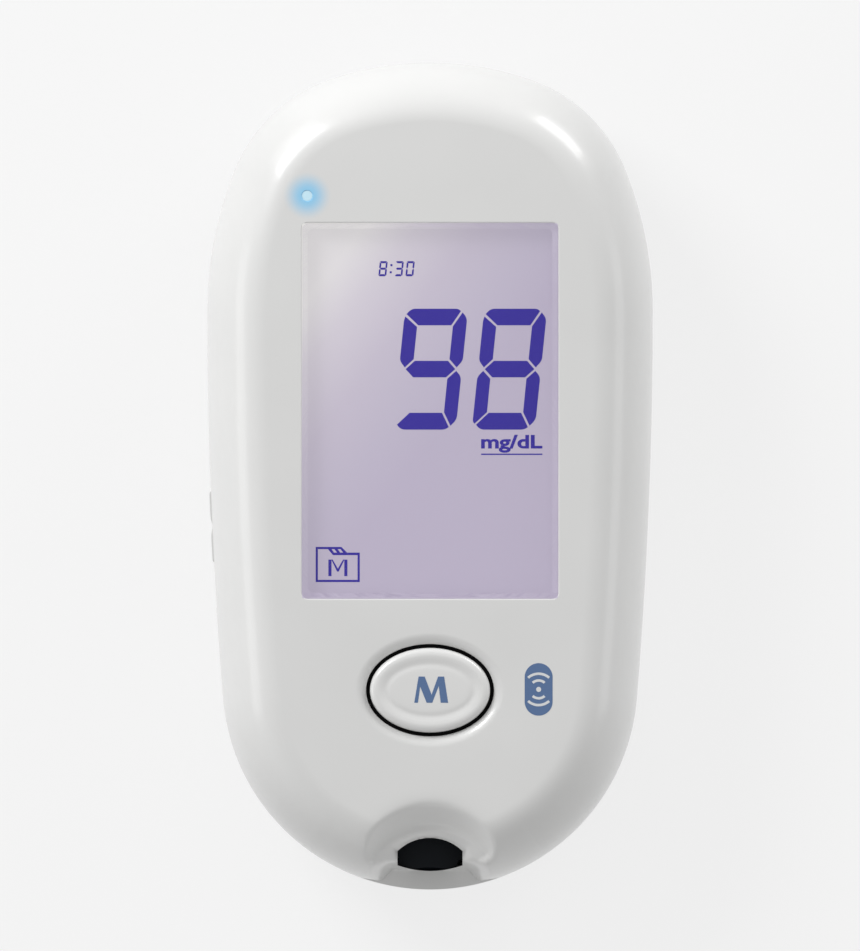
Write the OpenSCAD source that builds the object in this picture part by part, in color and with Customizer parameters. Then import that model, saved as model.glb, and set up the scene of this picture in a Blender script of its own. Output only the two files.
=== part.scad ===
// Blood glucose meter, lying on its back with the display up. Millimetres.
// +X is right and +Y is towards the top end; the origin is under the middle of the back.
// The test strip goes in at the -Y end.

/* [Case] */
// Length of the case
body_l = 98; // [96:0.5:104]
// Width of the case at its widest
body_w = 52.8; // [52:0.2:56]
// Thickness from the back to the display face
body_t = 22; // [22:0.5:25]
// Distance of the widest place above the middle
widest_y = 19.5; // [17:0.5:22]
// Radius of the top end
top_r = 36; // [34:0.5:40]
// Half angle that the top end's arc spans
top_half_deg = 19.6; // [18:0.2:21]
// Radius of the upper shoulders
shoulder_r = 18.7; // [17:0.1:19.4]
// Radius of the lower end
foot_r = 24.6; // [23:0.1:25.4]
// Height of the parting line above the back
part_z = 9.5; // [8.5:0.25:10.5]
// Width of the rolled edge of the face
face_roll = 7.2; // [5:0.2:8]
// Width of the rolled edge of the back
back_roll = 6; // [4:0.2:7]
// Side wall of both shells
wall = 1.8; // [1.6:0.1:2.2]
// Thickness of the face
face_t = 1.6; // [1.4:0.1:2]
// Thickness of the back
back_t = 1.6; // [1.4:0.1:2]
// Shadow gap between the shells
seam_gap = 0.2; // [0.1:0.05:0.3]
// Distance of the case screws from the side of the case
case_screw_in = 5.3; // [5.1:0.1:5.6]

/* [Display] */
// Width of the display lens
lens_w = 30.1; // [27:0.1:31]
// Length of the display lens
lens_l = 44.2; // [38:0.1:45]
// Middle of the lens above the middle of the case
lens_y = 7.7; // [6:0.1:9]
// Thickness of the lens
lens_t = 1; // [0.8:0.1:1.2]
// Corner radius of the lens
lens_corner = 0.6; // [0.4:0.1:1.5]
// Ledge that the lens is taped to
lens_ledge = 0.6; // [0.5:0.1:0.8]
// Depth of that ledge
ledge_t = 1.2; // [1:0.1:1.4]
// Thickness of each of the two display glasses
glass_t = 0.95; // [0.7:0.05:1]
// Wall of the display holder
holder_wall = 0.7; // [0.6:0.1:0.8]

/* [Button] */
// Middle of the button below the middle of the case
button_y = 25.3; // [24.5:0.1:26]
// Width of the button cap
button_w = 14.2; // [12:0.1:14.6]
// Height of the button cap, seen from the front
button_h = 10; // [9:0.1:10.6]
// Gap between the cap and the face round it
button_gap = 0.45; // [0.3:0.05:0.6]
// Key travel
button_travel = 0.4; // [0.2:0.05:0.5]
// How far the cap's crown stands above the face
button_proud = 0.3; // [0.1:0.1:0.6]
// Width of the dished lip round the cap
button_lip = 1; // [0.6:0.1:1.2]

/* [Status light] */
// Distance of the light inside the lens's side
light_in = 0.55; // [0.4:0.05:2]
// Height of the light above the lens
light_up = 3.3; // [3.1:0.1:4]
// Visible diameter of the light pipe
light_d = 1.2; // [1:0.1:1.6]

/* [Strip port] */
// Width of the mouth
mouth_w = 7.7; // [7.4:0.1:8]
// Distance of the hood's rim from the lower end of the case
hood_in = 6.2; // [5.9:0.1:6.5]
// Distance of the mouth's sill from the lower end of the case
sill_in = 2.2; // [2:0.1:2.5]
// Width of the flare at the outside
flare_w = 13; // [11:0.5:14]
// Distance of the finger scoop's upper end from the lower end of the case
scoop_in = 10.5; // [10:0.1:11]
// Radius of the finger scoop
scoop_r = 12.4; // [11:0.2:14]
// Slope of the finger scoop
scoop_deg = 51; // [48:1:53]
// Width of the test strip's way
strip_w = 7.2; // [6.6:0.1:7.4]
// Thickness of the test strip's way
strip_h = 0.8; // [0.7:0.05:1]
// Depth of the middle of that way below the board
strip_under = 1.45; // [1.35:0.05:1.55]

/* [Strip ejector] */
// Upper end of the thumb piece, below the middle of the case
thumb_y = 1.7; // [1:0.1:3]
// Length of the thumb piece
thumb_l = 8.6; // [7:0.1:9]
// How far the thumb piece stands out of the side
thumb_proud = 0.15; // [0.1:0.05:0.6]
// Ejector travel
eject_travel = 5; // [4:0.1:5]
// Outer diameter of the return spring
eject_spring_d = 3; // [2.4:0.1:3.2]
// Length of the return spring at rest
eject_spring_l = 10.1; // [9:0.1:10.4]

/* [Batteries] */
// Diameter of a cell
cell_d = 10.4; // [10:0.1:10.5]
// Length of a cell over its contacts
cell_l = 44.5; // [43.5:0.1:44.5]
// Length of the pressed cell spring
cell_spring_l = 3; // [2.5:0.1:3.2]
// Wall of the battery bay
bay_wall = 0.9; // [0.8:0.1:1]
// Distance of the battery bay from the top end of the case
bay_in = 6; // [5.5:0.25:6.5]
// Thickness of the battery cover
door_t = 1.6; // [1.3:0.1:1.8]
// How far the battery cover reaches past the bay's side wall
door_side = 1.4; // [1.3:0.1:1.6]
// Distance that the cover slides before it lifts off
door_travel = 7; // [5:0.5:8]

/* [Hidden] */
$fn = 48;
eps = 0.01;
// Two places, measured from a third
function span(from, low, high) = [from + low, from + high];

// Outline arcs, from the lower end (-90 degrees) round to the top end (+90 degrees)
half_l = body_l / 2;
half_w = body_w / 2;
top_deg = 90 - top_half_deg;
shoulder_in = half_w - shoulder_r - (top_r - shoulder_r) * cos(top_deg);
shoulder_up = half_l - top_r + (top_r - shoulder_r) * sin(top_deg) - widest_y;
side_deg = 2 * atan(shoulder_in / shoulder_up);
side_r = shoulder_r + shoulder_up / sin(side_deg);
flank_l = widest_y + half_l - foot_r;
foot_deg = 2 * atan((half_w - foot_r) / flank_l);
flank_r = foot_r + flank_l / sin(foot_deg);
shoulder_c = [(top_r - shoulder_r) * cos(top_deg), half_l - top_r + (top_r - shoulder_r) * sin(top_deg)];

// Battery bay
cell_r = cell_d / 2;
cell_gap = 0.2;
cell_side_gap = 0.15;
cell_x = cell_r + cell_side_gap;
contact_t = 0.4;
contact_half = 4;
tab_half = 1;
door_recess = 0.15;
fit_gap = 0.2;
cell_z = door_recess + door_t + fit_gap + cell_r;
bay_gap = 0.35;
bay_half = cell_x + cell_r + bay_gap;
door_half = bay_half + bay_wall + door_side;
bay_top = half_l - bay_in;
bay_end = bay_top - cell_l - cell_spring_l - 2 * contact_t;
roof_z = cell_z + cell_r + cell_gap;
nub_l = 1;
nub_r = 1.8;
cell_spring_r = [3.6, 2.2];
cell_wire_r = 0.25;

// Set button, in the cover's space below the bay
set_down = 4.7;
set_y = bay_end - set_down;
set_r = 1.7;
set_proud = 0.5;
set_flange = 0.9;
set_flange_h = 0.7;
ledge_under = 4.5;
ledge_plate = 1.2;
ledge_wall = 1.4;

// Battery cover: its lower end, hooks and thumb ridges
door_past_set = 4.5;
door_end = set_y - door_past_set;
hook_l = 5;
hook_first = 6.5;
hook_pitch = 19;
hook_at = [for (i = [0:2]) door_end + hook_first + hook_pitch * i];
hook_up = 0.55;
hook_t = 0.8;
hook_z = span(door_recess + door_t, hook_up, hook_up + hook_t);
hook_in = 0.3;
hook_x = door_half - hook_in;
hook_web = 0.8;
hook_reach = 0.9;
slide_gap = 0.3;
bead_w = 1.9;
bead_h = 4.2;
ridge_half = 6;
ridge_w = 0.9;
ridge_pitch = 1.8;
ridge_depth = 0.4;
ridge_in = 16;
ridge_y = bay_top - ridge_in;

// Display stack, hung from the face
face_z = body_t - face_t;
lens_sink = 0.05;
lens_gap = 0.1;
lens_z = body_t - lens_sink - lens_t;
tape_t = 0.15;
ledge_z = lens_z - tape_t - ledge_t;
ledge_rim = 1;
lcd_over_w = 0.9;
lcd_over_l = 0.8;
lcd_w = lens_w + lcd_over_w;
lcd_l = lens_l + lcd_over_l;
lcd_z = ledge_z - lens_gap - 2 * glass_t;
pad_l = 2.4;
zebra_l = 1.6;
zebra_in = 2;
holder_gap = 0.1;
holder_half = lcd_w / 2 + holder_gap + holder_wall;

// Main board, above the bay
board_t = 1.2;
board_gap = 0.3;
board_z = roof_z + bay_wall + board_gap;
board_top = board_z + board_t;
board_inset = 3.1;
light_x = lens_w / 2 - light_in;
light_y = lens_y + lens_l / 2 + light_up;
board_in = 9.5;
board_past_light = 3;
board_y = [board_in - half_l, light_y + board_past_light];
guide_up = 0.1;
guide_z = board_top + guide_up;
guide_gap = 0.3;

// Strip port
strip_z = board_z - strip_under;
hood_y = half_l - hood_in;
sill_y = half_l - sill_in;
scoop_y = half_l - scoop_in;
sill_h = 0.7;
sill_z = part_z + sill_h;
mouth_top_r = 5.5;
mouth_low_r = 10.9;
flare_in = 1;
scoop_back = 1.2;
scoop_half = 8.4;
scoop_corner = 3;
scoop_over = 0.6;
bezel_wall = 1.05;
bezel_h = 2.3;
bezel_top = strip_z + bezel_h;
bezel_lip = 1.3;
bezel_gap = 0.1;
lead_in = 1.4;
rim_gap = 0.3;
way_z = span(strip_z, -strip_h / 2, strip_h / 2);
connector_in = 2;
connector_l = 9.8;
connector_y = span(-hood_y, connector_in, connector_in + connector_l);
connector_half = 5.6;
connector_h = 2.1;
connector_z = strip_z - connector_h;
contact_pitch = 2;
contact_w = 0.5;
contact_rise = 0.65;
leaf_t = 0.2;
groove_half = 0.4;

// Parts on the board
parts_gap = 0.65;
radio_in = 0.4;
radio_up = 14.6;
radio_size = [6.8, 8.6];
radio_t = [0.8, 1.2];
radio_rim = 0.5;
chip_w = 6.4;
chip_t = 1;
chip_up = 15.1;
pin_pitch = 0.8;
pin_w = 0.3;
pin_l = 0.6;
buzzer_x = 9;
buzzer_r = 4.5;
buzzer_h = 1.9;
buzzer_hole_r = 0.8;
sound_hole_r = 0.5;
part_w = 0.8;
part_l = 1.6;
part_h = 0.7;
part_up = 3.5;
part_pitch = 2.4;
part_down = 21.7;
part_side = 2.1;
part_side_pitch = 3;
crystal_size = [6, 1.8, 0.9];
crystal_down = 6.1;
led_size = [1.6, 0.8, 0.6];
pipe_gap = 0.2;
pipe_r = 1.2;
pipe_seat = 0.3;
pipe_fit = 0.03;

// Strip ejector
slot_half = 2.1;
slot_z = span(part_z, -slot_half, slot_half);
thumb_half = 1.8;
thumb_z = span(part_z, -thumb_half, thumb_half);
valley_r = 1.5;
valley_out = 0.9;
valley_x = -half_w - valley_out;
plate_in = wall + 0.4;
plate_t = 0.9;
plate_over = 0.5;
plate_past = 1;
arm_low = 1.2;
arm_l = 2.5;
arm_y = span(-thumb_y - thumb_l - arm_low, 0, arm_l);
arm_h = 1.5;
arm_up = 0.1;
arm_z = span(strip_z + arm_up, -arm_h, 0);
arm_w = 1.8;
arm_gap = 0.75;
finger_h = 0.5;
finger_side = 0.4;
finger_half = contact_pitch + finger_side;
finger_l = 2.5;
pusher_w = 1.7;
pusher_h = 1.4;
bar_y = connector_y[1] + slide_gap + eject_travel + pusher_w;
finger_y = connector_y[1] - finger_l;
eject_wire_r = 0.18;
spring_gap = 1;
spring_under = 0.9;
spring_z = strip_z - spring_under;
stop_y = arm_y[0] - eject_spring_l;
stop_t = 1;
stop_half = 2;
pin_r = 0.8;

// Screws
case_screw_top_in = 14.5;
case_screw_under_stop = 1.9;
case_screw_r = 1;
case_screw_l = 5.5;
case_head_r = 1.9;
case_head_h = 1.5;
drive_size = [2.2, 0.5, 1.4];
pilot_over = 0.5;
seat_z = 4;
tower_r = 2.8;
boss_r = 2.5;
boss_gap = 0.4;
tower_over = 0.8;
tower_top = part_z + tower_over;
board_screw_x = 12;
board_screw_up = 4.5;
board_screw_side = 1.2;
board_screw_under_lens = 3.7;
board_screw_r = 0.7;
board_screw_l = 3;
board_head_r = 1.4;
board_head_h = 0.9;
screw_gap = 0.1;
head_gap = 0.2;
post_r = 2;

// Seam tongue
tongue_h = 1.2;
tongue_in = 1.05;
tongue_t = 0.65;
tongue_gap = 0.1;
groove_over = 0.3;
fitting_in = 0.45;

// Button and switches
lip_h = 0.7;
flange_h = 1;
flange_gap = 0.2;
flange_z = face_z - flange_gap - flange_h;
flange_side = 1.2;
stem_r = 2;
switch_w = 4.5;
switch_floor = 0.3;
plunger_r = 1.1;
plunger_sunk = 0.6;
plunger_out = 0.2;
plunger_h = plunger_sunk + button_travel + plunger_out;
switch_h = switch_floor + button_travel + plunger_sunk;

function arc(c, r, a0, a1, n) =
  [for (i = [0:n - 1]) let (a = a0 + (a1 - a0) * i / n) c + r * [cos(a), sin(a)]];

// Right half of the outline, moved in by d, from the lower end up to the top end
function right_half(d) = concat(
  arc([0, foot_r - half_l], foot_r - d, -90, -foot_deg, 16),
  arc([half_w - flank_r, widest_y], flank_r - d, -foot_deg, 0, 5),
  arc([half_w - side_r, widest_y], side_r - d, 0, side_deg, 4),
  arc(shoulder_c, shoulder_r - d, side_deg, top_deg, 10),
  arc([0, half_l - top_r], top_r - d, top_deg, 90, 4),
  [[0, half_l - d]]
);

// Whole outline, moved in by d, counterclockwise
function outline(d) = let (half = right_half(d), n = len(half))
  concat(half, [for (i = [n - 2:-1:1]) [-half[i].x, half[i].y]]);

// Half width of the case at height y above its middle
function edge_x(y) = lookup(y, [for (p = right_half(0)) [p.y, p.x]]);

// Places of the four screws that close the case, and of the four that hold the board
case_screw_low_y = stop_y - stop_t - boss_r - case_screw_under_stop;
case_screw_at = [for (y = [half_l - case_screw_top_in, case_screw_low_y]) for (side = [1, -1])
  [side * (edge_x(y) - case_screw_in), y]];
board_screw_low = [board_screw_x, board_y[0] + board_screw_up];
board_screw_high = [holder_half + post_r + board_screw_side, lens_y - board_screw_under_lens];
board_screw_at = [for (side = [1, -1]) for (at = [board_screw_low, board_screw_high]) [side * at.x, at.y]];

// The ejector's cover plate slides inside the wall, so the case's half width at both ends of its way counts
plate_y = [-thumb_y - thumb_l - eject_travel - plate_past, -thumb_y + eject_travel + plate_past];
plate_x = span(plate_in - min(edge_x(plate_y[0] - eject_travel), edge_x(plate_y[1])), 0, plate_t);

// The ejector's arm passes the spring, which lies beside the plate, and the lower screw's tower
low_screw = case_screw_at[2];
spring_x = plate_x[1] + spring_gap + eject_spring_d / 2;
arm_x = max(spring_x + eject_spring_d / 2, tower_r - low_screw.x) + arm_gap + arm_w;

// The radio module and the microcontroller pass the lower screw's boss, and the buzzer lies below the bay
parts_x = low_screw.x - boss_r - parts_gap;
radio_at = [parts_x - radio_size.x / 2 - radio_in, board_y[0] + radio_up];
chip_at = [pin_l + chip_w / 2 - parts_x, board_y[0] + chip_up];
buzzer_at = [buzzer_x, (door_end + board_screw_low.y) / 2];

function ellipse(a, b, n) = [for (i = [0:n - 1]) [a * cos(360 * i / n), b * sin(360 * i / n)]];

function round_rect(w, l, r) = [
  for (k = [0:3]) for (i = [0:4])
    let (a = 90 * k + 22.5 * i, sx = (k == 0 || k == 3) ? 1 : -1, sy = k < 2 ? 1 : -1)
      [sx * (w / 2 - r) + r * cos(a), sy * (l / 2 - r) + r * sin(a)]
];

// Closed solid through stacked rings, each a list of 3D points running counterclockwise
module skin(rings) {
  n = len(rings[0]);
  last = len(rings) - 1;
  points = [for (ring = rings) for (p = ring) p];
  sides = [for (k = [0:last - 1]) for (i = [0:n - 1]) let (j = (i + 1) % n)
    [k * n + j, k * n + i, (k + 1) * n + i, (k + 1) * n + j]];
  first_cap = [for (i = [0:n - 1]) i];
  last_cap = [for (i = [n - 1:-1:0]) last * n + i];
  polyhedron(points, concat([first_cap], sides, [last_cap]));
}

// Case outline at each [inset, height]
module case_skin(levels) {
  skin([for (l = levels) [for (p = outline(l[0])) [p.x, p.y, l[1]]]]);
}

// Rolled edges as [inset, height], from the parting line to the flat
function roll(w, z0, z1, start, steps) = [for (i = [0:steps])
  let (a = 90 * i / steps) [start + (w - start) * (1 - cos(a)), z0 + (z1 - z0) * sin(a)]];
function reversed(list) = [for (i = [len(list) - 1:-1:0]) list[i]];

module bar(x, y, z) {
  translate([x[0], y[0], z[0]]) cube([x[1] - x[0], y[1] - y[0], z[1] - z[0]]);
}

module both_sides() {
  children();
  mirror([1, 0, 0]) children();
}

module slab(points, z0, z1) {
  translate([0, 0, z0]) linear_extrude(z1 - z0) polygon(points);
}

module post(at, r, z0, z1) {
  translate([at.x, at.y, z0]) cylinder(r = r, h = z1 - z0);
}

// Cylinder lying along +Y
module rod(x, y0, y1, z, r) {
  translate([x, y0, z]) rotate([-90, 0, 0]) cylinder(r = r, h = y1 - y0);
}

// Round wire coiled along +Y; the radius runs from r0 to r1
module coil(x, y0, y1, z, r0, r1, wire_r, turns) {
  steps = 12;
  count = turns * steps;
  sides = 6;
  skin([for (i = [0:count]) let (
      t = i / count, a = -360 * i / steps,
      r = r0 + (r1 - r0) * t, y = y0 + wire_r + (y1 - y0 - 2 * wire_r) * t)
    [for (s = [0:sides - 1]) let (b = 360 * s / sides, q = r + wire_r * cos(b))
      [x + q * cos(a), y + wire_r * sin(b), z + q * sin(a)]]]);
}

// ---- Case ----

// The scoop is a leaning cylinder whose lowest line starts at the scoop's upper end
module scoop_cylinder(grow) {
  translate([0, -scoop_y, body_t]) rotate([90 + scoop_deg, 0, 0])
    translate([0, scoop_r, -body_t]) cylinder(r = scoop_r + grow, h = 3 * body_t, $fn = 96);
}

// Plan of the mouth: straight sides between an upper and a lower arc
function mouth_plan() = let (a = acos(mouth_w / 2 / mouth_top_r), b = acos(mouth_w / 2 / mouth_low_r))
  concat(
    arc([0, -hood_y - mouth_top_r], mouth_top_r, a, 180 - a, 10),
    arc([0, -sill_y + mouth_low_r], mouth_low_r, 180 + b, 360 - b, 10)
  );

module mouth_cut() {
  slab(mouth_plan(), part_z - eps, body_t);
  flare_y = sill_y - flare_in;
  both_sides() slab([[-eps, -flare_y + 1], [-eps, -half_l - 1], [flare_w / 2, -half_l - 1],
    [mouth_w / 2, -flare_y], [mouth_w / 2, -flare_y + 1]], part_z - eps, body_t);
}

module button_opening() {
  a = button_w / 2 + button_gap;
  b = button_h / 2 + button_gap;
  translate([0, -button_y, 0]) {
    slab(ellipse(a, b, 48), face_z - 1, body_t + 1);
    skin([for (step = [[-eps, body_t - lip_h], [button_lip, body_t + eps]])
      [for (p = ellipse(a + step[0], b + step[0], 48)) [p.x, p.y, step[1]]]]);
  }
}

module thumb_slot() {
  y1 = -thumb_y + slide_gap;
  y0 = -thumb_y - thumb_l - eject_travel - slide_gap;
  bar([-half_w - 1, plate_x[0] - slide_gap], [y0, y1], slot_z);
}

// The lens's outline, grown all round
module lens_slab(grow, z0, z1) {
  slab(round_rect(lens_w + 2 * grow, lens_l + 2 * grow, lens_corner + max(grow, 0)), z0, z1);
}

// What stands inside the front shell: the scoop's backing, screw bosses, board posts and lens ledge
module front_fittings() {
  intersection() {
    scoop_cylinder(scoop_back);
    bar([-scoop_half - wall, scoop_half + wall], [-half_l, -scoop_y + 3], [part_z, body_t]);
  }
  for (at = case_screw_at) post(at, boss_r, tower_top, body_t);
  for (at = board_screw_at) post(at, post_r, board_top, body_t);
  translate([0, lens_y, 0]) lens_slab(ledge_rim, ledge_z, body_t);
}

module front_shell() {
  outer = roll(face_roll, part_z + seam_gap, body_t, 0, 8);
  inner = roll(face_roll, part_z + seam_gap, face_z, wall, 5);
  color("gainsboro") difference() {
    case_skin(outer);
    difference() {
      case_skin(concat([[wall, part_z - 1]], inner));
      front_fittings();
    }
    intersection() {
      scoop_cylinder(0);
      translate([0, scoop_half - sill_y + scoop_over, 0])
        slab(round_rect(2 * scoop_half, 2 * scoop_half, scoop_corner), part_z, body_t + 1);
    }
    mouth_cut();
    button_opening();
    thumb_slot();
    translate([0, lens_y, 0]) {
      lens_slab(lens_gap, lens_z - tape_t, body_t + 1);
      lens_slab(-lens_ledge, ledge_z - 1, body_t);
    }
    post([-light_x, light_y], light_d / 2 + pipe_fit, face_z - 1, body_t + 1);
    post([-light_x, light_y], pipe_r + pipe_fit, board_top, face_z + pipe_seat);
    for (at = case_screw_at) post(at, case_screw_r, tower_top - 1, tower_top + case_screw_l + pilot_over);
    for (at = board_screw_at)
      post(at, board_screw_r, board_top - 1, board_top + board_screw_l + pilot_over);
    difference() {
      slab(outline(tongue_in - tongue_gap), part_z, part_z + tongue_h + tongue_gap);
      slab(outline(wall + groove_over), part_z - 1, part_z + tongue_h + 1);
    }
  }
}

module door_opening() {
  half = door_half + fit_gap;
  inside = roll(back_roll, part_z, door_recess + door_t + fit_gap, wall + fit_gap, 4);
  difference() {
    bar([-half, half], [door_end - fit_gap, half_l + 1], [-1, part_z + tongue_h + 1]);
    case_skin(concat(reversed(inside), [[wall + fit_gap, board_z]]));
  }
  bar([-bay_half, bay_half], [bay_end, bay_top], [-1, roof_z]);
  bar([-bay_half, bay_half], [door_end - fit_gap, bay_end - bay_wall], [-1, ledge_under]);
  for (y = hook_at) both_sides() {
    gate = y + door_travel;
    far = hook_x + hook_reach + fit_gap;
    bar([half - eps, far], [y - slide_gap, gate + hook_l + slide_gap], hook_z + [-fit_gap, fit_gap]);
    bar([half - eps, far], [gate - slide_gap, gate + hook_l + slide_gap], [-1, hook_z[1] + fit_gap]);
  }
}

// What stands inside the rear shell: battery bay, set button ledge, cover rails, screw towers, spring stop
module rear_fittings() {
  side = bay_half + bay_wall;
  rail = door_half + fit_gap;
  bar([-side, side], [bay_end - bay_wall, bay_top + bay_wall], [0, roof_z + bay_wall]);
  bar([-side, side], [door_end - ledge_wall, bay_end], [0, ledge_under + ledge_plate]);
  both_sides() bar([rail, rail + bead_w], [door_end - ledge_wall, bay_top], [0, bead_h]);
  for (at = case_screw_at) post(at, tower_r, 0, tower_top);
  bar(span(spring_x, -stop_half, stop_half), [stop_y - stop_t, stop_y], [0, spring_z + eject_spring_d / 2]);
}

module rear_shell() {
  outer = roll(back_roll, part_z, 0, 0, 7);
  inner = roll(back_roll, part_z, back_t, wall, 4);
  tab_gap = tab_half + fit_gap;
  color("whitesmoke") difference() {
    union() {
      difference() {
        case_skin(reversed(outer));
        difference() {
          case_skin(concat(reversed(inner), [[wall, part_z + 1]]));
          rear_fittings();
        }
      }
      intersection() {
        rear_fittings();
        slab(outline(wall + fitting_in), part_z - 0.5, board_z);
      }
      difference() {
        slab(outline(tongue_in), part_z - 1, part_z + tongue_h);
        slab(outline(tongue_in + tongue_t), part_z - 2, part_z + tongue_h + 1);
      }
      rod(spring_x, stop_y - eps, stop_y + eject_spring_d, spring_z, pin_r);
    }
    door_opening();
    bar([-flare_w / 2, flare_w / 2], [-half_l - 1, connector_y[0]], [part_z, part_z + tongue_h + 1]);
    thumb_slot();
    post([0, set_y], set_r + screw_gap, 0, ledge_under + ledge_plate + 1);
    for (i = [-1:1]) post(buzzer_at + [4 * sound_hole_r * i, 0], sound_hole_r, -1, back_t + 1);
    for (x = [-cell_x, cell_x])
      bar(span(x, -tab_gap, tab_gap), [bay_end, bay_end + contact_t + eps], [roof_z - 1, board_z]);
    for (at = case_screw_at) {
      post(at, case_head_r + head_gap, -1, seat_z);
      post(at, case_screw_r + screw_gap, seat_z - 1, tower_top + 1);
    }
  }
}

module battery_door() {
  outer = roll(back_roll, part_z, door_recess, door_recess, 7);
  inner = roll(back_roll, part_z, door_recess + door_t, wall, 4);
  color("whitesmoke") {
    difference() {
      intersection() {
        case_skin(concat(reversed(outer), inner));
        bar([-door_half, door_half], [door_end, half_l + 1], [-1, part_z]);
      }
      for (i = [0:5]) translate([0, ridge_y + ridge_pitch * i, 0])
        bar([-ridge_half, ridge_half], [0, ridge_w], [-1, door_recess + ridge_depth]);
    }
    for (y = hook_at) both_sides() {
      bar([hook_x - hook_web, hook_x], [y, y + hook_l], [door_recess + door_t - eps, hook_z[1]]);
      bar([hook_x - eps, hook_x + hook_reach], [y, y + hook_l], hook_z);
    }
  }
}

module case_screws() {
  color("silver") for (at = case_screw_at) difference() {
    union() {
      post(at, case_head_r, seat_z - case_head_h, seat_z);
      post(at, case_screw_r, seat_z - eps, tower_top + case_screw_l);
    }
    for (turn = [0, 90]) translate([at.x, at.y, seat_z - case_head_h]) rotate(turn)
      cube(drive_size, center = true);
  }
}

// ---- Display ----

module display_lens() {
  color("lightsteelblue", 0.5) translate([0, lens_y, 0])
    lens_slab(0, lens_z, lens_z + lens_t);
}

module lens_tape() {
  color("dimgray") translate([0, lens_y, 0]) difference() {
    lens_slab(0, lens_z - tape_t, lens_z);
    lens_slab(-lens_ledge, lens_z - 1, lens_z + 1);
  }
}

// Front glass over a rear glass that is shorter by the pad row at the lower end
module lcd_panel() {
  color("thistle") translate([0, lens_y, 0]) {
    bar([-lcd_w / 2, lcd_w / 2], [-lcd_l / 2, lcd_l / 2], [lcd_z + glass_t, lcd_z + 2 * glass_t]);
    bar([-lcd_w / 2, lcd_w / 2], [pad_l - lcd_l / 2, lcd_l / 2], [lcd_z, lcd_z + glass_t + eps]);
  }
}

module light_guide() {
  x = lcd_w / 2 - guide_gap;
  color("white") translate([0, lens_y, 0])
    bar([-x, x], [pad_l - lcd_l / 2, lcd_l / 2 - guide_gap], [guide_z, lcd_z]);
}

module lcd_holder() {
  inner = [lcd_w, lcd_l] + 2 * [holder_gap, holder_gap];
  outer = inner + 2 * [holder_wall, holder_wall];
  color("snow") translate([0, lens_y, 0]) difference() {
    slab(round_rect(outer.x, outer.y, 1), board_top, ledge_z - lens_gap / 2);
    slab(round_rect(inner.x, inner.y, 0.2), board_top - 1, ledge_z + 1);
  }
}

module zebra_strip() {
  x = lcd_w / 2 - zebra_in;
  y = lens_y - lcd_l / 2 + (pad_l - zebra_l) / 2;
  color("hotpink") bar([-x, x], [y, y + zebra_l], [board_top, lcd_z + glass_t]);
}

// ---- Electronics ----

module main_board() {
  color("darkgreen") difference() {
    intersection() {
      slab(outline(board_inset), board_z, board_top);
      bar([-half_w, half_w], board_y, [board_z - 1, board_top + 1]);
    }
    for (at = case_screw_at) post(at, boss_r + boss_gap, board_z - 1, board_top + 1);
    for (at = board_screw_at) post(at, board_screw_r + screw_gap, board_z - 1, board_top + 1);
  }
}

// A small part on the board, centred on at
module board_part(at, size) {
  translate([at.x, at.y, board_top + size.z / 2]) cube(size, center = true);
}

// Capacitors in a row below the connector and beside the display, and the clock crystal
module board_parts() {
  color("saddlebrown") {
    for (i = [-3:3])
      board_part([part_pitch * i, board_y[0] + part_up], [part_w, part_l, part_h]);
    for (i = [0:2]) both_sides() {
      y = lens_y - part_down + part_side_pitch * i;
      board_part([holder_half + part_side, y], [part_l, part_w, part_h]);
    }
    board_part(chip_at - [0, crystal_down], crystal_size);
  }
}

module board_screws() {
  color("silver") for (at = board_screw_at) {
    post(at, board_head_r, board_z - board_head_h, board_z);
    post(at, board_screw_r, board_z - eps, board_top + board_screw_l);
  }
}

module microcontroller() {
  color("black") {
    board_part(chip_at, [chip_w, chip_w, chip_t]);
    for (side = [0:3]) for (i = [-3:3]) translate([chip_at.x, chip_at.y, board_top]) rotate(90 * side)
      translate([chip_w / 2 - eps, pin_pitch * i - pin_w / 2, 0]) cube([pin_l, pin_w, chip_t * 0.4]);
  }
}

module radio_module() {
  can = radio_size - 2 * [radio_rim, radio_rim];
  color("silver") {
    board_part(radio_at, [radio_size.x, radio_size.y, radio_t[0]]);
    board_part(radio_at, [can.x, can.y, radio_t[0] + radio_t[1]]);
  }
}

module buzzer() {
  color("black") difference() {
    post(buzzer_at, buzzer_r, board_z - buzzer_h, board_z);
    post(buzzer_at, buzzer_hole_r, board_z - buzzer_h - 1, board_z - buzzer_h / 2);
  }
}

module status_led() {
  color("deepskyblue") board_part([-light_x, light_y], led_size);
}

module light_pipe() {
  at = [-light_x, light_y];
  color("lightcyan") {
    post(at, light_d / 2, face_z, body_t - lens_sink);
    post(at, pipe_r, board_top + led_size.z + pipe_gap, face_z + pipe_seat);
  }
}

// ---- Keys ----

module switch_case(z0, z1) {
  color("dimgray") difference() {
    translate([-switch_w / 2, -switch_w / 2, min(z0, z1)]) cube([switch_w, switch_w, abs(z1 - z0)]);
    post([0, 0], plunger_r + screw_gap, min(z0 + switch_floor, z1 - 1), max(z0 - switch_floor, z1 + 1));
  }
}

module key_switch() {
  translate([0, -button_y, 0]) switch_case(board_top, board_top + switch_h);
}

module key_plunger() {
  z = board_top + switch_h - plunger_sunk;
  color("black") post([0, -button_y], plunger_r, z, z + plunger_h);
}

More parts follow.
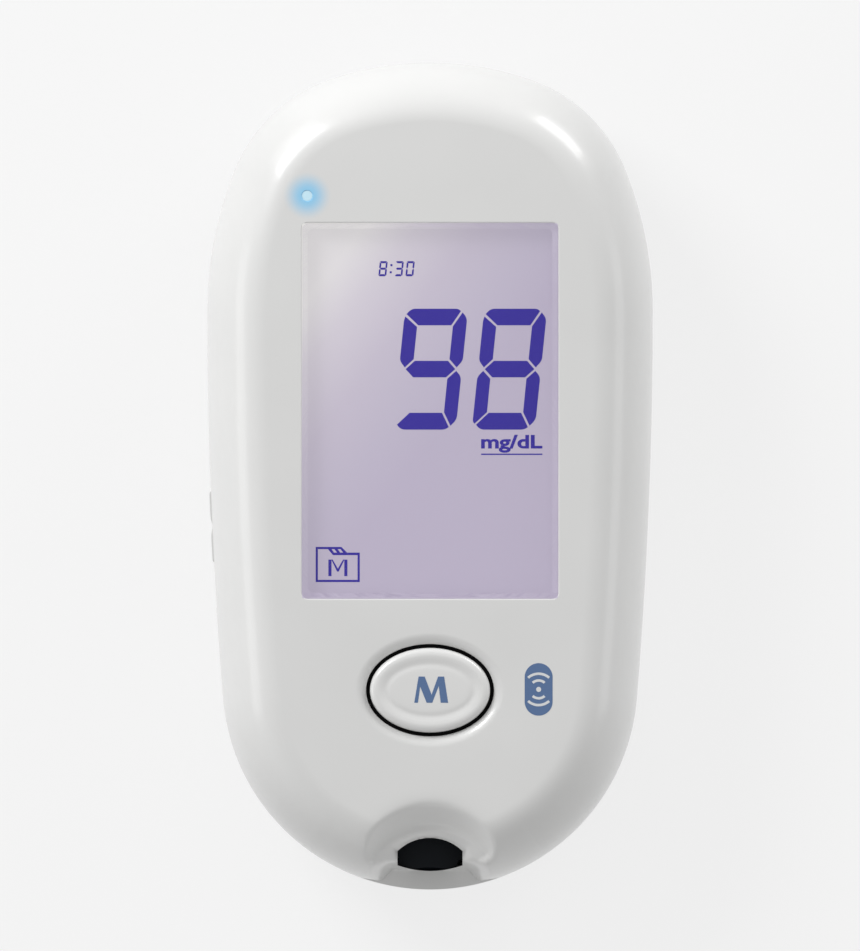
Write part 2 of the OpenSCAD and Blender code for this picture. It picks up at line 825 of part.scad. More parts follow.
// Oval cap: a rounded outer ring, a shallow trough and a raised middle, over a holding flange
module button_cap() {
  a = button_w / 2;
  b = button_h / 2;
  crown = body_t + button_proud;
  levels = [
    [0, flange_z + flange_h - eps], [0, crown - 0.75], [0.12, crown - 0.35], [0.4, crown - 0.1],
    [0.75, crown], [1.1, crown - 0.08], [1.4, crown - 0.26], [1.75, crown - 0.38],
    [2.05, crown - 0.33], [2.3, crown - 0.2], [2.6, crown - 0.15]
  ];
  stem_z = board_top + switch_h - plunger_sunk + plunger_h;
  color("gainsboro") translate([0, -button_y, 0]) {
    skin([for (l = levels) [for (p = ellipse(a - l[0], b - l[0], 40)) [p.x, p.y, l[1]]]]);
    slab(ellipse(a + flange_side, b + flange_side, 40), flange_z, flange_z + flange_h);
    post([0, 0], stem_r, stem_z, flange_z + eps);
  }
}

module set_switch() {
  translate([0, set_y, 0]) switch_case(board_z, board_z - switch_h);
}

module set_plunger() {
  z = board_z - switch_h + plunger_sunk;
  color("black") post([0, set_y], plunger_r, z - plunger_h, z);
}

module set_button() {
  flange = ledge_under + ledge_plate + screw_gap;
  color("gray") {
    post([0, set_y], set_r, ledge_under - set_proud, board_z - switch_h + plunger_sunk - plunger_h);
    post([0, set_y], set_r + set_flange, flange, flange + set_flange_h);
  }
}

// ---- Strip port ----

module port_bezel() {
  h = mouth_w / 2;
  out = h + bezel_wall;
  back = connector_y[0];
  low = part_z + bezel_gap;
  rim = bezel_lip - sill_y;
  way_y = lead_in - hood_y;
  cheek_y = rim_gap - bezel_gap - hood_y;
  inside_y = -bezel_gap - hood_y - lead_in;
  color("midnightblue") difference() {
    union() {
      slab(mouth_plan(), low, sill_z);
      bar([-out, out], [rim, back], [low, sill_z]);
      both_sides() bar([h, out], [rim, back], [low, bezel_top]);
      bar([-out, out], [rim_gap - hood_y, back], [low, bezel_top]);
    }
    bar([-strip_w / 2, strip_w / 2], [-hood_y, back + 1], way_z);
    translate([-h, 0, 0]) rotate([90, 0, 90]) linear_extrude(mouth_w)
      polygon([[cheek_y, sill_z], [way_y, way_z[0]], [way_y, way_z[1]], [cheek_y, bezel_top + 1],
        [inside_y, bezel_top + 1], [inside_y, sill_z]]);
    scoop_cylinder(scoop_back + bezel_gap);
  }
}

module strip_connector() {
  color("ivory") difference() {
    bar([-connector_half, connector_half], connector_y, [connector_z, board_z]);
    bar([-strip_w / 2, strip_w / 2], connector_y + [-1, 1], way_z);
    for (x = contact_pitch * [-1, 0, 1])
      bar([x - groove_half, x + groove_half], connector_y + [1.2, 1], [way_z[1] - eps, board_z + 1]);
  }
}

// Bent spring strips that press on the test strip's pads
module strip_contacts() {
  back = connector_y[1];
  root = back - 3 * leaf_t;
  low = way_z[1] + leaf_t / 4;
  crest = way_z[1] + contact_rise;
  color("gold") for (x = contact_pitch * [-1, 0, 1]) translate([x - contact_w / 2, 0, 0])
    rotate([90, 0, 90]) linear_extrude(contact_w) polygon([
      [back - leaf_t, board_z], [back - leaf_t, crest], [back - 4.5, crest - leaf_t], [back - 6.4, low],
      [back - 7.6, low + 0.45], [back - 7.5, low + 0.6], [back - 6.4, low + leaf_t], [back - 4.6, crest],
      [root, crest + leaf_t], [root, board_z]
    ]);
}

// Thumb piece with a finger valley, cover plate behind the slot, and the arm down to the port
module ejector_slider() {
  y1 = -thumb_y;
  y0 = -thumb_y - thumb_l;
  color("gainsboro") {
    difference() {
      intersection() {
        slab(outline(-thumb_proud), thumb_z[0], thumb_z[1]);
        bar([-half_w - 1, plate_x[0] + eps], [y0, y1], thumb_z);
      }
      post([valley_x, (y0 + y1) / 2], valley_r, thumb_z[0] - 1, thumb_z[1] + 1);
    }
    bar(plate_x, plate_y, slot_z + plate_over * [-1, 1]);
    bar([plate_x[1] - eps, arm_x], arm_y, arm_z);
    bar([arm_x - arm_w, arm_x], [bar_y, arm_y[0] + eps], arm_z);
  }
}

module ejector_pusher() {
  top = strip_z + finger_h / 2;
  color("darkgray") {
    bar([arm_x - arm_w, finger_half], [bar_y - pusher_w, bar_y], [top - pusher_h, top]);
    bar([-finger_half, finger_half], [finger_y, bar_y - pusher_w + eps], [top - finger_h, top]);
  }
}

module ejector_spring() {
  r = eject_spring_d / 2 - eject_wire_r;
  color("silver") coil(spring_x, stop_y, arm_y[0], spring_z, r, r, eject_wire_r, 7);
}

// ---- Power ----

// One cell along Y; the raised contact is at the upper end when up is 1
module cell(x, y0, up) {
  body = cell_l - nub_l;
  start = up == 1 ? y0 : y0 + nub_l;
  rod(x, start, start + body, cell_z, cell_r);
  if (up == 1) rod(x, start + body - eps, y0 + cell_l, cell_z, nub_r);
  else rod(x, y0, start + eps, cell_z, nub_r);
}

module cell_right() {
  color("darkgoldenrod") cell(cell_x, bay_top - contact_t - cell_l, 1);
}

module cell_left() {
  color("darkgoldenrod") cell(-cell_x, bay_end + contact_t, 0);
}

module cell_springs() {
  low = bay_end + contact_t;
  high = bay_top - contact_t;
  color("silver") {
    coil(cell_x, low, low + cell_spring_l, cell_z, cell_spring_r[0], cell_spring_r[1], cell_wire_r, 3);
    coil(-cell_x, high - cell_spring_l, high, cell_z, cell_spring_r[1], cell_spring_r[0], cell_wire_r, 3);
  }
}

module bridge_contact() {
  half = cell_x + contact_half;
  z = span(cell_z, -contact_half, contact_half);
  color("silver") bar([-half, half], [bay_top - contact_t, bay_top], z);
}

// End plate with a tab that goes up through the bay's roof to the board
module end_contact(x) {
  y = [bay_end, bay_end + contact_t];
  bar([x - contact_half, x + contact_half], y, span(cell_z, -contact_half, contact_half));
  bar([x - tab_half, x + tab_half], y, [cell_z + contact_half - eps, board_z]);
}

module positive_contact() {
  color("silver") end_contact(-cell_x);
}

module negative_contact() {
  color("silver") end_contact(cell_x);
}

front_shell();
rear_shell();
battery_door();
display_lens();
lens_tape();
lcd_panel();
light_guide();
lcd_holder();
zebra_strip();
main_board();
board_parts();
button_cap();
key_switch();
key_plunger();
set_button();
set_switch();
set_plunger();
status_led();
light_pipe();
strip_connector();
strip_contacts();
port_bezel();
ejector_slider();
ejector_pusher();
ejector_spring();
cell_left();
cell_right();
cell_springs();
bridge_contact();
positive_contact();
negative_contact();
case_screws();
board_screws();
buzzer();
radio_module();
microcontroller();
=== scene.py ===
# Blood glucose meter: smooth skins, display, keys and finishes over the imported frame.
from math import acos, atan, atan2, cos, hypot, pi, radians, sin, sqrt, tan

import bmesh
import bpy
from mathutils import Matrix, Vector


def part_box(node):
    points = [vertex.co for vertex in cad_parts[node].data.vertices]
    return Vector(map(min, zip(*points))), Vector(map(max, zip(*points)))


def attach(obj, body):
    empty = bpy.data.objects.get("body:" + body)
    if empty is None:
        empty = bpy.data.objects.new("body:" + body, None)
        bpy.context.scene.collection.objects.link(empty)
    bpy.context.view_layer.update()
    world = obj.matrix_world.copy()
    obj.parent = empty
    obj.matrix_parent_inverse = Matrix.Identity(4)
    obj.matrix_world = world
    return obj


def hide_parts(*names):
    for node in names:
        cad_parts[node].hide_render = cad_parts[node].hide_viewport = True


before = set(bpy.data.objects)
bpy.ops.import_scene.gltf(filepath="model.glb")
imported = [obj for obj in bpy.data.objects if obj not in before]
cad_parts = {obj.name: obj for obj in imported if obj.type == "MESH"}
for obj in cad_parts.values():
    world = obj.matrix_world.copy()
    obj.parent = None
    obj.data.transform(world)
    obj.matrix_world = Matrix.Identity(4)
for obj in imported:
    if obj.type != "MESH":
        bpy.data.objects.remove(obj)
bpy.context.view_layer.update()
MM = 0.001


# ---------------------------------------------------------------- sizes, in millimetres

def box(node):
    low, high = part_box(node)
    return [c / MM for c in low], [c / MM for c in high]


def middle(node):
    low, high = box(node)
    return [(a + b) / 2 for a, b in zip(low, high)]


front_high = box("front_shell")[1]
HALF_W = front_high[0]
HALF_L = front_high[1]
FACE_Z = front_high[2]
SEAM = (9.5, 9.7)  # the rear shell's edge and the front shell's edge, with the shadow gap between

# Arcs of the outline, as the case is drawn
WIDEST_Y = 19.5
TOP_R = 36
TOP_HALF = radians(19.6)
SHOULDER_R = 18.7
FOOT_R = 24.6
FACE_ROLL = 7.2
BACK_ROLL = 6
WALL = 1.8

# Display
LENS_W, LENS_L = 30.1, 44.2
LENS_Y = middle("display_lens")[1]
LENS_Z = [corner[2] for corner in box("display_lens")]
LENS_CORNER = 0.6
LENS_LEDGE = 0.6
LENS_GAP = 0.1
LCD_TOP = box("lcd_panel")[1][2]
PAINTED_REFLECTION_WAY = (0.788, -0.615, 0)  # painted reflection: the display pales against this direction
PAINTED_REFLECTION_SPAN = (-24.1, -2.3)  # where along it the painted reflection is palest, and where the display's own lilac begins

# Button
BUTTON = middle("button_cap")
CAP_HALF = (7.1, 5.0)
CAP_TOP = box("button_cap")[1][2]
CAP_LOW = box("button_cap")[0][2]
CAP_DISH = 0.08  # how far the cap's middle lies below its rounded ring
FLANGE_Z = (19.2, 20.2)
FLANGE_OUT = 1.2
STEM_R = 2
BUTTON_GAP = 0.45
DISH_OUT = 1.35  # the face starts to dip this far outside the button's gap
LIP_DROP = 0.7

# Strip port
SCOOP_Y = -38.7
SCOOP_R = 11.0
SCOOP_SLOPE = radians(51)
SCOOP_HALF = 8.4
SCOOP_CORNER = 3.0
SCOOP_LOW = -46.2
HOOD_Y = -42.8
SILL_Y = -46.8
MOUTH_HALF = 3.85
MOUTH_TOP_R = 5.5
MOUTH_LOW_R = 10.9
SILL_Z = 10.2
ARCH_Y = -49.0  # centre of the arch that the hood's ridge follows
ARCH_R = 7.25
FLARE = ((3.85, -45.9), (6.5, -48.6))

# Thumb piece of the strip ejector, on the left side
THUMB_Y = (-10.3, -1.7)
THUMB_Z = (7.7, 11.3)
THUMB_PROUD = 0.15
THUMB_SLOT = ((-15.6, -1.4), (7.4, 11.6))
PLATE_X = -22.7
VALLEY = (-27.3, -6.0, 1.5)  # finger valley: its centre and radius

# Battery cover and what the back shows
DOOR_HALF = box("battery_door")[1][0] - 0.6  # the hooks stand out this far
DOOR_END = box("battery_door")[0][1]
DOOR_GAP = 0.2
DOOR_RECESS = 0.15
RIDGES = {"Count": 6, "Pitch": 1.8, "Length": 12, "Width": 0.9, "Depth": 1.1}
RIDGE_Y = 27
SCREW_IN = 5.3
SCREW_HEAD = (1.9, 2.5, 4.0)  # radius, lowest and highest place
SCREW_R = 1.0
RECESS_R = 2.1
SOUND_R = 0.5

LIGHT = middle("light_pipe")
PAINTED_HALO = (0.6, 3.0)  # radius where the status light's painted glow is full, and where it ends
BADGE = (12.83, -25.2)
BADGE_SIZE = (3.3, 6.2)


# ---------------------------------------------------------------- mesh helpers

def new_object(name, verts, faces):
    """A mesh object from points in millimetres."""
    mesh = bpy.data.meshes.new(name)
    mesh.from_pydata([[c * MM for c in v] for v in verts], [], faces)
    obj = bpy.data.objects.new(name, mesh)
    bpy.context.scene.collection.objects.link(obj)
    return obj


def tidy_mesh(obj, sharp_deg=32):
    """Merges what the parts share, points the faces outwards and keeps hard edges hard."""
    bm = bmesh.new()
    bm.from_mesh(obj.data)
    bmesh.ops.remove_doubles(bm, verts=bm.verts, dist=0.0005 * MM)
    bmesh.ops.dissolve_degenerate(bm, edges=bm.edges, dist=0.0002 * MM)
    bmesh.ops.recalc_face_normals(bm, faces=bm.faces)
    bm.to_mesh(obj.data)
    bm.free()
    obj.data.polygons.foreach_set("use_smooth", [True] * len(obj.data.polygons))
    obj.data.set_sharp_from_angle(angle=radians(sharp_deg))
    return obj


def apply_modifiers(obj):
    """Turns the object's live modifiers into plain mesh."""
    result = bpy.data.meshes.new_from_object(obj.evaluated_get(bpy.context.evaluated_depsgraph_get()))
    obj.modifiers.clear()
    obj.data = result
    return obj


def boolean(obj, other, operation="DIFFERENCE"):
    """Cuts, joins or keeps what two closed solids share, and deletes the second one."""
    mod = obj.modifiers.new("cut", "BOOLEAN")
    mod.object = other
    mod.operation = operation
    mod.solver = "EXACT"
    apply_modifiers(obj)
    bpy.data.objects.remove(other)
    return obj


def colour(code):
    """sRGB hex to linear."""
    values = [int(code[i:i + 2], 16) / 255 for i in (1, 3, 5)]
    return [v / 12.92 if v <= 0.04045 else ((v + 0.055) / 1.055) ** 2.4 for v in values] + [1]


def node(tree, kind, settings=None, inputs=None):
    """Adds a node, sets its properties, and sets or links its inputs."""
    made = tree.nodes.new(kind)
    for name, value in (settings or {}).items():
        setattr(made, name, value)
    for name, value in (inputs or {}).items():
        if isinstance(value, bpy.types.NodeSocket):
            tree.links.new(value, made.inputs[name])
        else:
            made.inputs[name].default_value = value
    return made


class Build:
    """Collects rings of points and the faces between them."""

    def __init__(self):
        self.verts = []
        self.faces = []

    def ring(self, points):
        first = len(self.verts)
        self.verts += points
        return list(range(first, len(self.verts)))

    def bridge(self, a, b, closed=True):
        n = len(a)
        for i in range(n if closed else n - 1):
            j = (i + 1) % n
            self.faces.append((a[i], a[j], b[j], b[i]))

    def loft(self, rings, closed=True):
        ids = [self.ring(r) for r in rings]
        for a, b in zip(ids, ids[1:]):
            self.bridge(a, b, closed)
        return ids

    def flat(self, outer, holes=()):
        """Fills the plane between a ring and the rings inside it."""
        bm = bmesh.new()
        made = {}
        edges = []
        for loop in [outer, *holes]:
            for i in loop:
                made[i] = bm.verts.new(self.verts[i])
            edges += [bm.edges.new((made[a], made[b])) for a, b in zip(loop, loop[1:] + loop[:1])]
        back = {v: i for i, v in made.items()}
        bmesh.ops.triangle_fill(bm, edges=edges, use_beauty=True, use_dissolve=False)
        self.faces += [tuple(back[v] for v in f.verts) for f in bm.faces]
        bm.free()

    def plate(self, outer, low, high, holes=()):
        """A flat plate between two heights, with holes through it."""
        loops = [[self.ring(at_height(points, z)) for z in (low, high)] for points in [outer, *holes]]
        for bottom, top in loops:
            self.bridge(bottom, top)
        for level in (0, 1):
            self.flat(loops[0][level], [hole[level] for hole in loops[1:]])

    def object(self, name):
        return new_object(name, self.verts, self.faces)


def prism(name, points, low, high, holes=()):
    b = Build()
    b.plate(points, low, high, holes)
    return tidy_mesh(b.object(name))


def block(name, x, y, z):
    return prism(name, [(x[0], y[0]), (x[1], y[0]), (x[1], y[1]), (x[0], y[1])], *z)


def cad_copy(node):
    """A merged copy of a CAD node's mesh."""
    obj = bpy.data.objects.new(node + ".copy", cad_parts[node].data.copy())
    bpy.context.scene.collection.objects.link(obj)
    return tidy_mesh(obj)


def copies(name, points, shape):
    """One copy of a shape at each point, realized as one mesh."""
    tree = bpy.data.node_groups.new(name, "GeometryNodeTree")
    tree.interface.new_socket("Points", in_out="INPUT", socket_type="NodeSocketGeometry")
    shape_in = tree.interface.new_socket("Shape", in_out="INPUT", socket_type="NodeSocketObject")
    material_in = tree.interface.new_socket("Finish", in_out="INPUT", socket_type="NodeSocketMaterial")
    tree.interface.new_socket("Copies", in_out="OUTPUT", socket_type="NodeSocketGeometry")
    given = node(tree, "NodeGroupInput").outputs
    part = node(tree, "GeometryNodeObjectInfo", inputs={"Object": given["Shape"]})
    placed = node(tree, "GeometryNodeInstanceOnPoints",
                  inputs={"Points": given["Points"], "Instance": part.outputs["Geometry"]})
    real = node(tree, "GeometryNodeRealizeInstances", inputs={"Geometry": placed.outputs["Instances"]})
    dressed = node(tree, "GeometryNodeSetMaterial",
                   inputs={"Geometry": real.outputs["Geometry"], "Material": given["Finish"]})
    node(tree, "NodeGroupOutput", inputs={"Copies": dressed.outputs["Geometry"]})
    obj = new_object(name, points, [])
    modifier = obj.modifiers.new("copies", "NODES")
    modifier.node_group = tree
    modifier[shape_in.identifier] = shape
    modifier[material_in.identifier] = shape.data.materials[0]
    apply_modifiers(obj)
    bpy.data.objects.remove(shape)
    return tidy_mesh(obj)


def ridge_cutter(name, start, sizes):
    """A row of bars along +Y, worked out by named sizes in millimetres."""
    tree = bpy.data.node_groups.new(name, "GeometryNodeTree")
    kinds = {"Count": "NodeSocketInt", "Pitch": "NodeSocketFloat", "Length": "NodeSocketFloat",
             "Width": "NodeSocketFloat", "Depth": "NodeSocketFloat"}
    tree.interface.new_socket("Start", in_out="INPUT", socket_type="NodeSocketGeometry")
    sockets = {key: tree.interface.new_socket(key, in_out="INPUT", socket_type=kind)
               for key, kind in kinds.items()}
    tree.interface.new_socket("Bars", in_out="OUTPUT", socket_type="NodeSocketGeometry")
    given = node(tree, "NodeGroupInput").outputs
    step = node(tree, "ShaderNodeCombineXYZ", inputs={"Y": given["Pitch"]})
    line = node(tree, "GeometryNodeMeshLine",
                inputs={"Count": given["Count"], "Offset": step.outputs["Vector"]})
    size = node(tree, "ShaderNodeCombineXYZ",
                inputs={"X": given["Length"], "Y": given["Width"], "Z": given["Depth"]})
    bar = node(tree, "GeometryNodeMeshCube", inputs={"Size": size.outputs["Vector"]})
    placed = node(tree, "GeometryNodeInstanceOnPoints",
                  inputs={"Points": line.outputs["Mesh"], "Instance": bar.outputs["Mesh"]})
    real = node(tree, "GeometryNodeRealizeInstances", inputs={"Geometry": placed.outputs["Instances"]})
    node(tree, "NodeGroupOutput", inputs={"Bars": real.outputs["Geometry"]})
    obj = new_object(name, [(0, 0, 0)], [])
    modifier = obj.modifiers.new("bars", "NODES")
    modifier.node_group = tree
    for key, value in sizes.items():
        modifier[sockets[key].identifier] = value if key == "Count" else value * MM
    apply_modifiers(obj)
    obj.data.transform(Matrix.Translation(Vector(start) * MM))
    return tidy_mesh(obj)


# ---------------------------------------------------------------- outlines

def case_arcs():
    """Centre, radius, start and end of each arc of the outline's right half, from the lower end up."""
    top = pi / 2 - TOP_HALF
    shoulder = ((TOP_R - SHOULDER_R) * cos(top), HALF_L - TOP_R + (TOP_R - SHOULDER_R) * sin(top))
    side_in = HALF_W - SHOULDER_R - shoulder[0]
    side_up = shoulder[1] - WIDEST_Y
    side = 2 * atan(side_in / side_up)
    side_r = SHOULDER_R + side_up / sin(side)
    flank_l = WIDEST_Y + HALF_L - FOOT_R
    foot = 2 * atan((HALF_W - FOOT_R) / flank_l)
    flank_r = FOOT_R + flank_l / sin(foot)
    port = -pi / 2 + PORT_SPAN
    return [
        ((0, FOOT_R - HALF_L), FOOT_R, -pi / 2, port, PORT_COLUMNS),
        ((0, FOOT_R - HALF_L), FOOT_R, port, -foot, 26),
        ((HALF_W - flank_r, WIDEST_Y), flank_r, -foot, 0, 18),
        ((HALF_W - side_r, WIDEST_Y), side_r, 0, side, 14),
        (shoulder, SHOULDER_R, side, top, 26),
        ((0, HALF_L - TOP_R), TOP_R, top, pi / 2, 12),
    ]


PORT_SPAN = radians(34)  # half of the lower end's arc that the port's fine mesh takes
PORT_COLUMNS = 72
ARCS = case_arcs()


def outline(inset):
    """The case's outline, moved in, counterclockwise from the lower end."""
    half = []
    for centre, radius, start, end, count in ARCS:
        for i in range(count):
            a = start + (end - start) * i / count
            half.append((centre[0] + (radius - inset) * cos(a), centre[1] + (radius - inset) * sin(a)))
    half.append((0, HALF_L - inset))
    return half + [(-x, y) for x, y in reversed(half[1:-1])]


def ellipse(centre, a, b, count=128):
    turns = [2 * pi * i / count for i in range(count)]
    return [(centre[0] + a * cos(turn), centre[1] + b * sin(turn)) for turn in turns]


def round_rect(centre, width, length, corner, steps=8):
    points = []
    for k in range(4):
        sx = 1 if k in (0, 3) else -1
        sy = 1 if k < 2 else -1
        for i in range(steps + 1):
            a = pi / 2 * (k + i / steps)
            points.append((centre[0] + sx * (width / 2 - corner) + corner * cos(a),
                           centre[1] + sy * (length / 2 - corner) + corner * sin(a)))
    return points


def at_height(points, z):
    return [(x, y, z) for x, y in points]


def roll(width, low, high, start=0, steps=40):
    """Inset and height along a rolled edge, from the parting line to the flat."""
    angles = [pi / 2 * i / steps for i in range(steps + 1)]
    return [(start + (width - start) * (1 - cos(a)), low + (high - low) * sin(a)) for a in angles]


# ---------------------------------------------------------------- the strip port's surface

def smooth_step(t):
    t = min(max(t, 0), 1)
    return t * t * (3 - 2 * t)


def soft_max(a, b, width):
    """The larger of two, rounded over the given width."""
    return (a + b + sqrt((a - b) ** 2 + width * width)) / 2


def plain_height(x, y):
    """Height of the case's face and its rolled edge near the lower end."""
    inset = FOOT_R - hypot(x, y - FOOT_R + HALF_L)
    if inset >= FACE_ROLL:
        return FACE_Z
    if inset <= 0:
        return SEAM[1]
    return SEAM[1] + (FACE_Z - SEAM[1]) * sin(acos(1 - inset / FACE_ROLL))


def scooped_height(x, y):
    """The face with the finger scoop sunk into it."""
    plain = plain_height(x, y)
    across = min(abs(x), SCOOP_R - 0.1)
    rise = SCOOP_R - sqrt(SCOOP_R ** 2 - across ** 2)
    floor = FACE_Z + tan(SCOOP_SLOPE) * (y - SCOOP_Y) + rise / cos(SCOOP_SLOPE)
    depth = soft_max(plain - floor, 0, 0.55) - 0.02
    # the scoop ends at the sides and below in a rounded rectangle
    dx = abs(x) - (SCOOP_HALF - SCOOP_CORNER)
    dy = SCOOP_LOW + SCOOP_CORNER - y
    outside = hypot(max(dx, 0), max(dy, 0)) + min(max(dx, dy), 0) - SCOOP_CORNER
    fade = smooth_step(0.5 - outside / 2.2)
    above = smooth_step((SCOOP_Y + 2.2 - y) / 2.2)
    return plain - max(depth, 0) * fade * above


def mouth_reach(angle):
    """How far the mouth and its flare reach from the arch's centre, at an angle from straight up."""
    s, c = abs(sin(angle)), cos(angle)
    rise = HOOD_Y - MOUTH_TOP_R - ARCH_Y
    arc = rise * c + sqrt(MOUTH_TOP_R ** 2 - (rise * s) ** 2)
    side = MOUTH_HALF / max(s, 1e-6)
    (x0, y0), (x1, y1) = FLARE
    if abs(angle) < atan2(x0, y0 - ARCH_Y):
        return min(arc, side)
    nx, ny = y0 - y1, x1 - x0
    return (nx * x0 + ny * (y0 - ARCH_Y)) / max(nx * s + ny * c, 1e-6)


def port_height(x, y):
    """The face with the scoop, the hood's flat-topped ridge and the funnel that rolls down to the mouth."""
    r = hypot(x, y - ARCH_Y)
    angle = atan2(x, y - ARCH_Y)
    ridge = ARCH_R + 0.35 * smooth_step(abs(angle) / radians(70))
    k = soft_max(r, ridge + 0.45, 0.5) / max(r, 1e-6)
    z = scooped_height(x * k, ARCH_Y + (y - ARCH_Y) * k) if r < ridge + 3 else scooped_height(x, y)
    low = SILL_Z + 0.15 + 5.0 * smooth_step((y + 46.75) / 1.35)
    z = max(z, low)
    reach = mouth_reach(angle)
    t = (ridge - 0.1 - r) / max(ridge - 0.1 - reach, 0.25)
    if t > 0:
        bend = 1.7 - 0.45 * smooth_step(abs(angle) / radians(60))
        lip = 1 - 0.14 * smooth_step((y + 46.4) / 1.4)
        z -= (z - low) * (1 - (1 - (min(t, 1) * lip) ** bend) ** (1 / bend))
    return min(z, plain_height(x, y))


def mouth_plan():
    """Straight sides between an upper and a lower arc."""
    a = acos(MOUTH_HALF / MOUTH_TOP_R)
    b = acos(MOUTH_HALF / MOUTH_LOW_R)
    top = [a + (pi - 2 * a) * i / 32 for i in range(33)]
    low = [b + (pi - 2 * b) * i / 32 for i in range(33)]
    return ([(MOUTH_TOP_R * cos(t), HOOD_Y - MOUTH_TOP_R + MOUTH_TOP_R * sin(t)) for t in top]
            + [(-MOUTH_LOW_R * cos(t), SILL_Y + MOUTH_LOW_R - MOUTH_LOW_R * sin(t)) for t in low])


# ---------------------------------------------------------------- pieces

def in_port(index, count):
    """True for the outline's points whose columns run on over the port."""
    return min(index, count - index) <= PORT_COLUMNS


def front_shell():
    """Upper shell: rolled edge, scooped port, lens pocket, dished button opening and light hole."""
    b = Build()
    count = len(outline(0))
    edge = [(0.35, SEAM[1]), (0.1, SEAM[1] + 0.06), (0.02, SEAM[1] + 0.2)]
    levels = edge + roll(FACE_ROLL, SEAM[1] + 0.45, FACE_Z, steps=64)[1:]

    def skin(levels, surface):
        """Rings up the rolled edge, then open rows on over the port, and the ring where the flat starts."""
        rings = []
        for inset, z in levels:
            points = outline(inset)
            rings.append(b.ring([surface(x, y, z) if in_port(i, count) else (x, y, z)
                                 for i, (x, y) in enumerate(points)]))
        for low, high in zip(rings, rings[1:]):
            b.bridge(low, high)
        last = rings[-1]
        port = [i for i in range(-PORT_COLUMNS, PORT_COLUMNS + 1)]
        row = [last[i] for i in port]
        sides = [[], []]
        for step in range(1, 38):
            points = outline(FACE_ROLL + 0.16 * step)
            above = b.ring([surface(*points[i], levels[-1][1]) for i in port])
            b.bridge(row, above, closed=False)
            row = above
            sides[0].append(row[0])
            sides[1].append(row[-1])
        rest = last[PORT_COLUMNS:count - PORT_COLUMNS + 1]
        return rings[0], rest + sides[0] + row[1:-1] + sides[1][::-1]

    def outer(x, y, z):
        return (x, y, min(z, port_height(x, y)))

    def inner(x, y, z):
        return (x, y, max(min(z, port_height(x, y) - 1.3), SEAM[1]))

    rim, face = skin(levels, outer)
    ceiling_z = FACE_Z - 1.6
    inner_levels = [(WALL, SEAM[1])] + roll(FACE_ROLL, SEAM[1] + 0.3, ceiling_z, WALL, 20)
    inner_rim, ceiling = skin(inner_levels, inner)
    b.bridge(inner_rim, rim)

    centre = (0, LENS_Y)
    ledge_z = FACE_Z - 1.2
    pocket_sides = ((0.14, FACE_Z), (0.04, FACE_Z - 0.04), (0, FACE_Z - 0.14), (0, ledge_z),
                    (-LENS_LEDGE, ledge_z), (-LENS_LEDGE, ceiling_z))
    pocket = b.loft([at_height(round_rect(centre, LENS_W + 2 * d, LENS_L + 2 * d, LENS_CORNER + d), z)
                     for d, z in [(LENS_GAP + out, z) for out, z in pocket_sides]])
    dish = [(DISH_OUT, FACE_Z)]
    dish += [(DISH_OUT * (1 - i / 10), FACE_Z - LIP_DROP * (i / 10) ** 2) for i in range(1, 10)]
    dish += [(0.02, FACE_Z - LIP_DROP - 0.03), (0, FACE_Z - LIP_DROP - 0.15), (0, ceiling_z)]
    opening = b.loft([at_height(ellipse(BUTTON, *[half + BUTTON_GAP + d for half in CAP_HALF]), z)
                      for d, z in dish])
    light = b.loft([at_height(ellipse(LIGHT, r, r, 32), z)
                    for r, z in ((0.7, FACE_Z), (0.63, FACE_Z - 0.07), (0.63, ceiling_z))])
    b.flat(face, [pocket[0], opening[0], light[0]])
    b.flat(ceiling, [pocket[-1], opening[-1], light[-1]])
    shell = tidy_mesh(b.object("case_front"))

    boolean(shell, prism("mouth", mouth_plan(), SEAM[1] - 1, FACE_Z + 1))
    boolean(shell, block("slot", (-HALF_W - 1, PLATE_X - 0.3), *THUMB_SLOT))
    return tidy_mesh(shell, 18)


# ---------------------------------------------------------------- finishes

def finish(name, base, rough=0.4, **sockets):
    """A material with one Principled shader. Returns it, its node tree and the shader."""
    material = bpy.data.materials.new(name)
    material.use_nodes = True
    shader = material.node_tree.nodes["Principled BSDF"]
    shader.inputs["Base Color"].default_value = colour(base)
    shader.inputs["Roughness"].default_value = rough
    for socket, value in sockets.items():
        shader.inputs[socket.replace("_", " ")].default_value = value
    return material, material.node_tree, shader


def place(tree):
    """Object coordinates, in millimetres."""
    where = node(tree, "ShaderNodeTexCoord").outputs["Object"]
    scaled = node(tree, "ShaderNodeVectorMath", {"operation": "SCALE"}, {0: where, "Scale": 1 / MM})
    return scaled.outputs["Vector"]


def noise(tree, where, size, detail=2):
    """Soft patches of the given size in millimetres."""
    made = node(tree, "ShaderNodeTexNoise", inputs={"Vector": where, "Scale": 1 / size, "Detail": detail})
    return made.outputs["Fac"]


def mixed(tree, factor, a, b):
    return node(tree, "ShaderNodeMix", {"data_type": "RGBA"},
                {"Factor": factor, "A": a, "B": b}).outputs["Result"]


def bumped(tree, shader, height, depth):
    """Relief of a real depth in millimetres."""
    bump = node(tree, "ShaderNodeBump", inputs={"Height": height, "Strength": 1.0, "Distance": depth * MM})
    tree.links.new(bump.outputs["Normal"], shader.inputs["Normal"])


def mottled(name, base, second, patch, grain, depth, rough=0.4, **sockets):
    """Two close tones in soft patches, and a fine grain of a real size and depth."""
    material, tree, shader = finish(name, base, rough, **sockets)
    where = place(tree)
    tone = mixed(tree, noise(tree, where, patch), colour(base), colour(second))
    tree.links.new(tone, shader.inputs["Base Color"])
    bumped(tree, shader, noise(tree, where, grain, 3), depth)
    return material


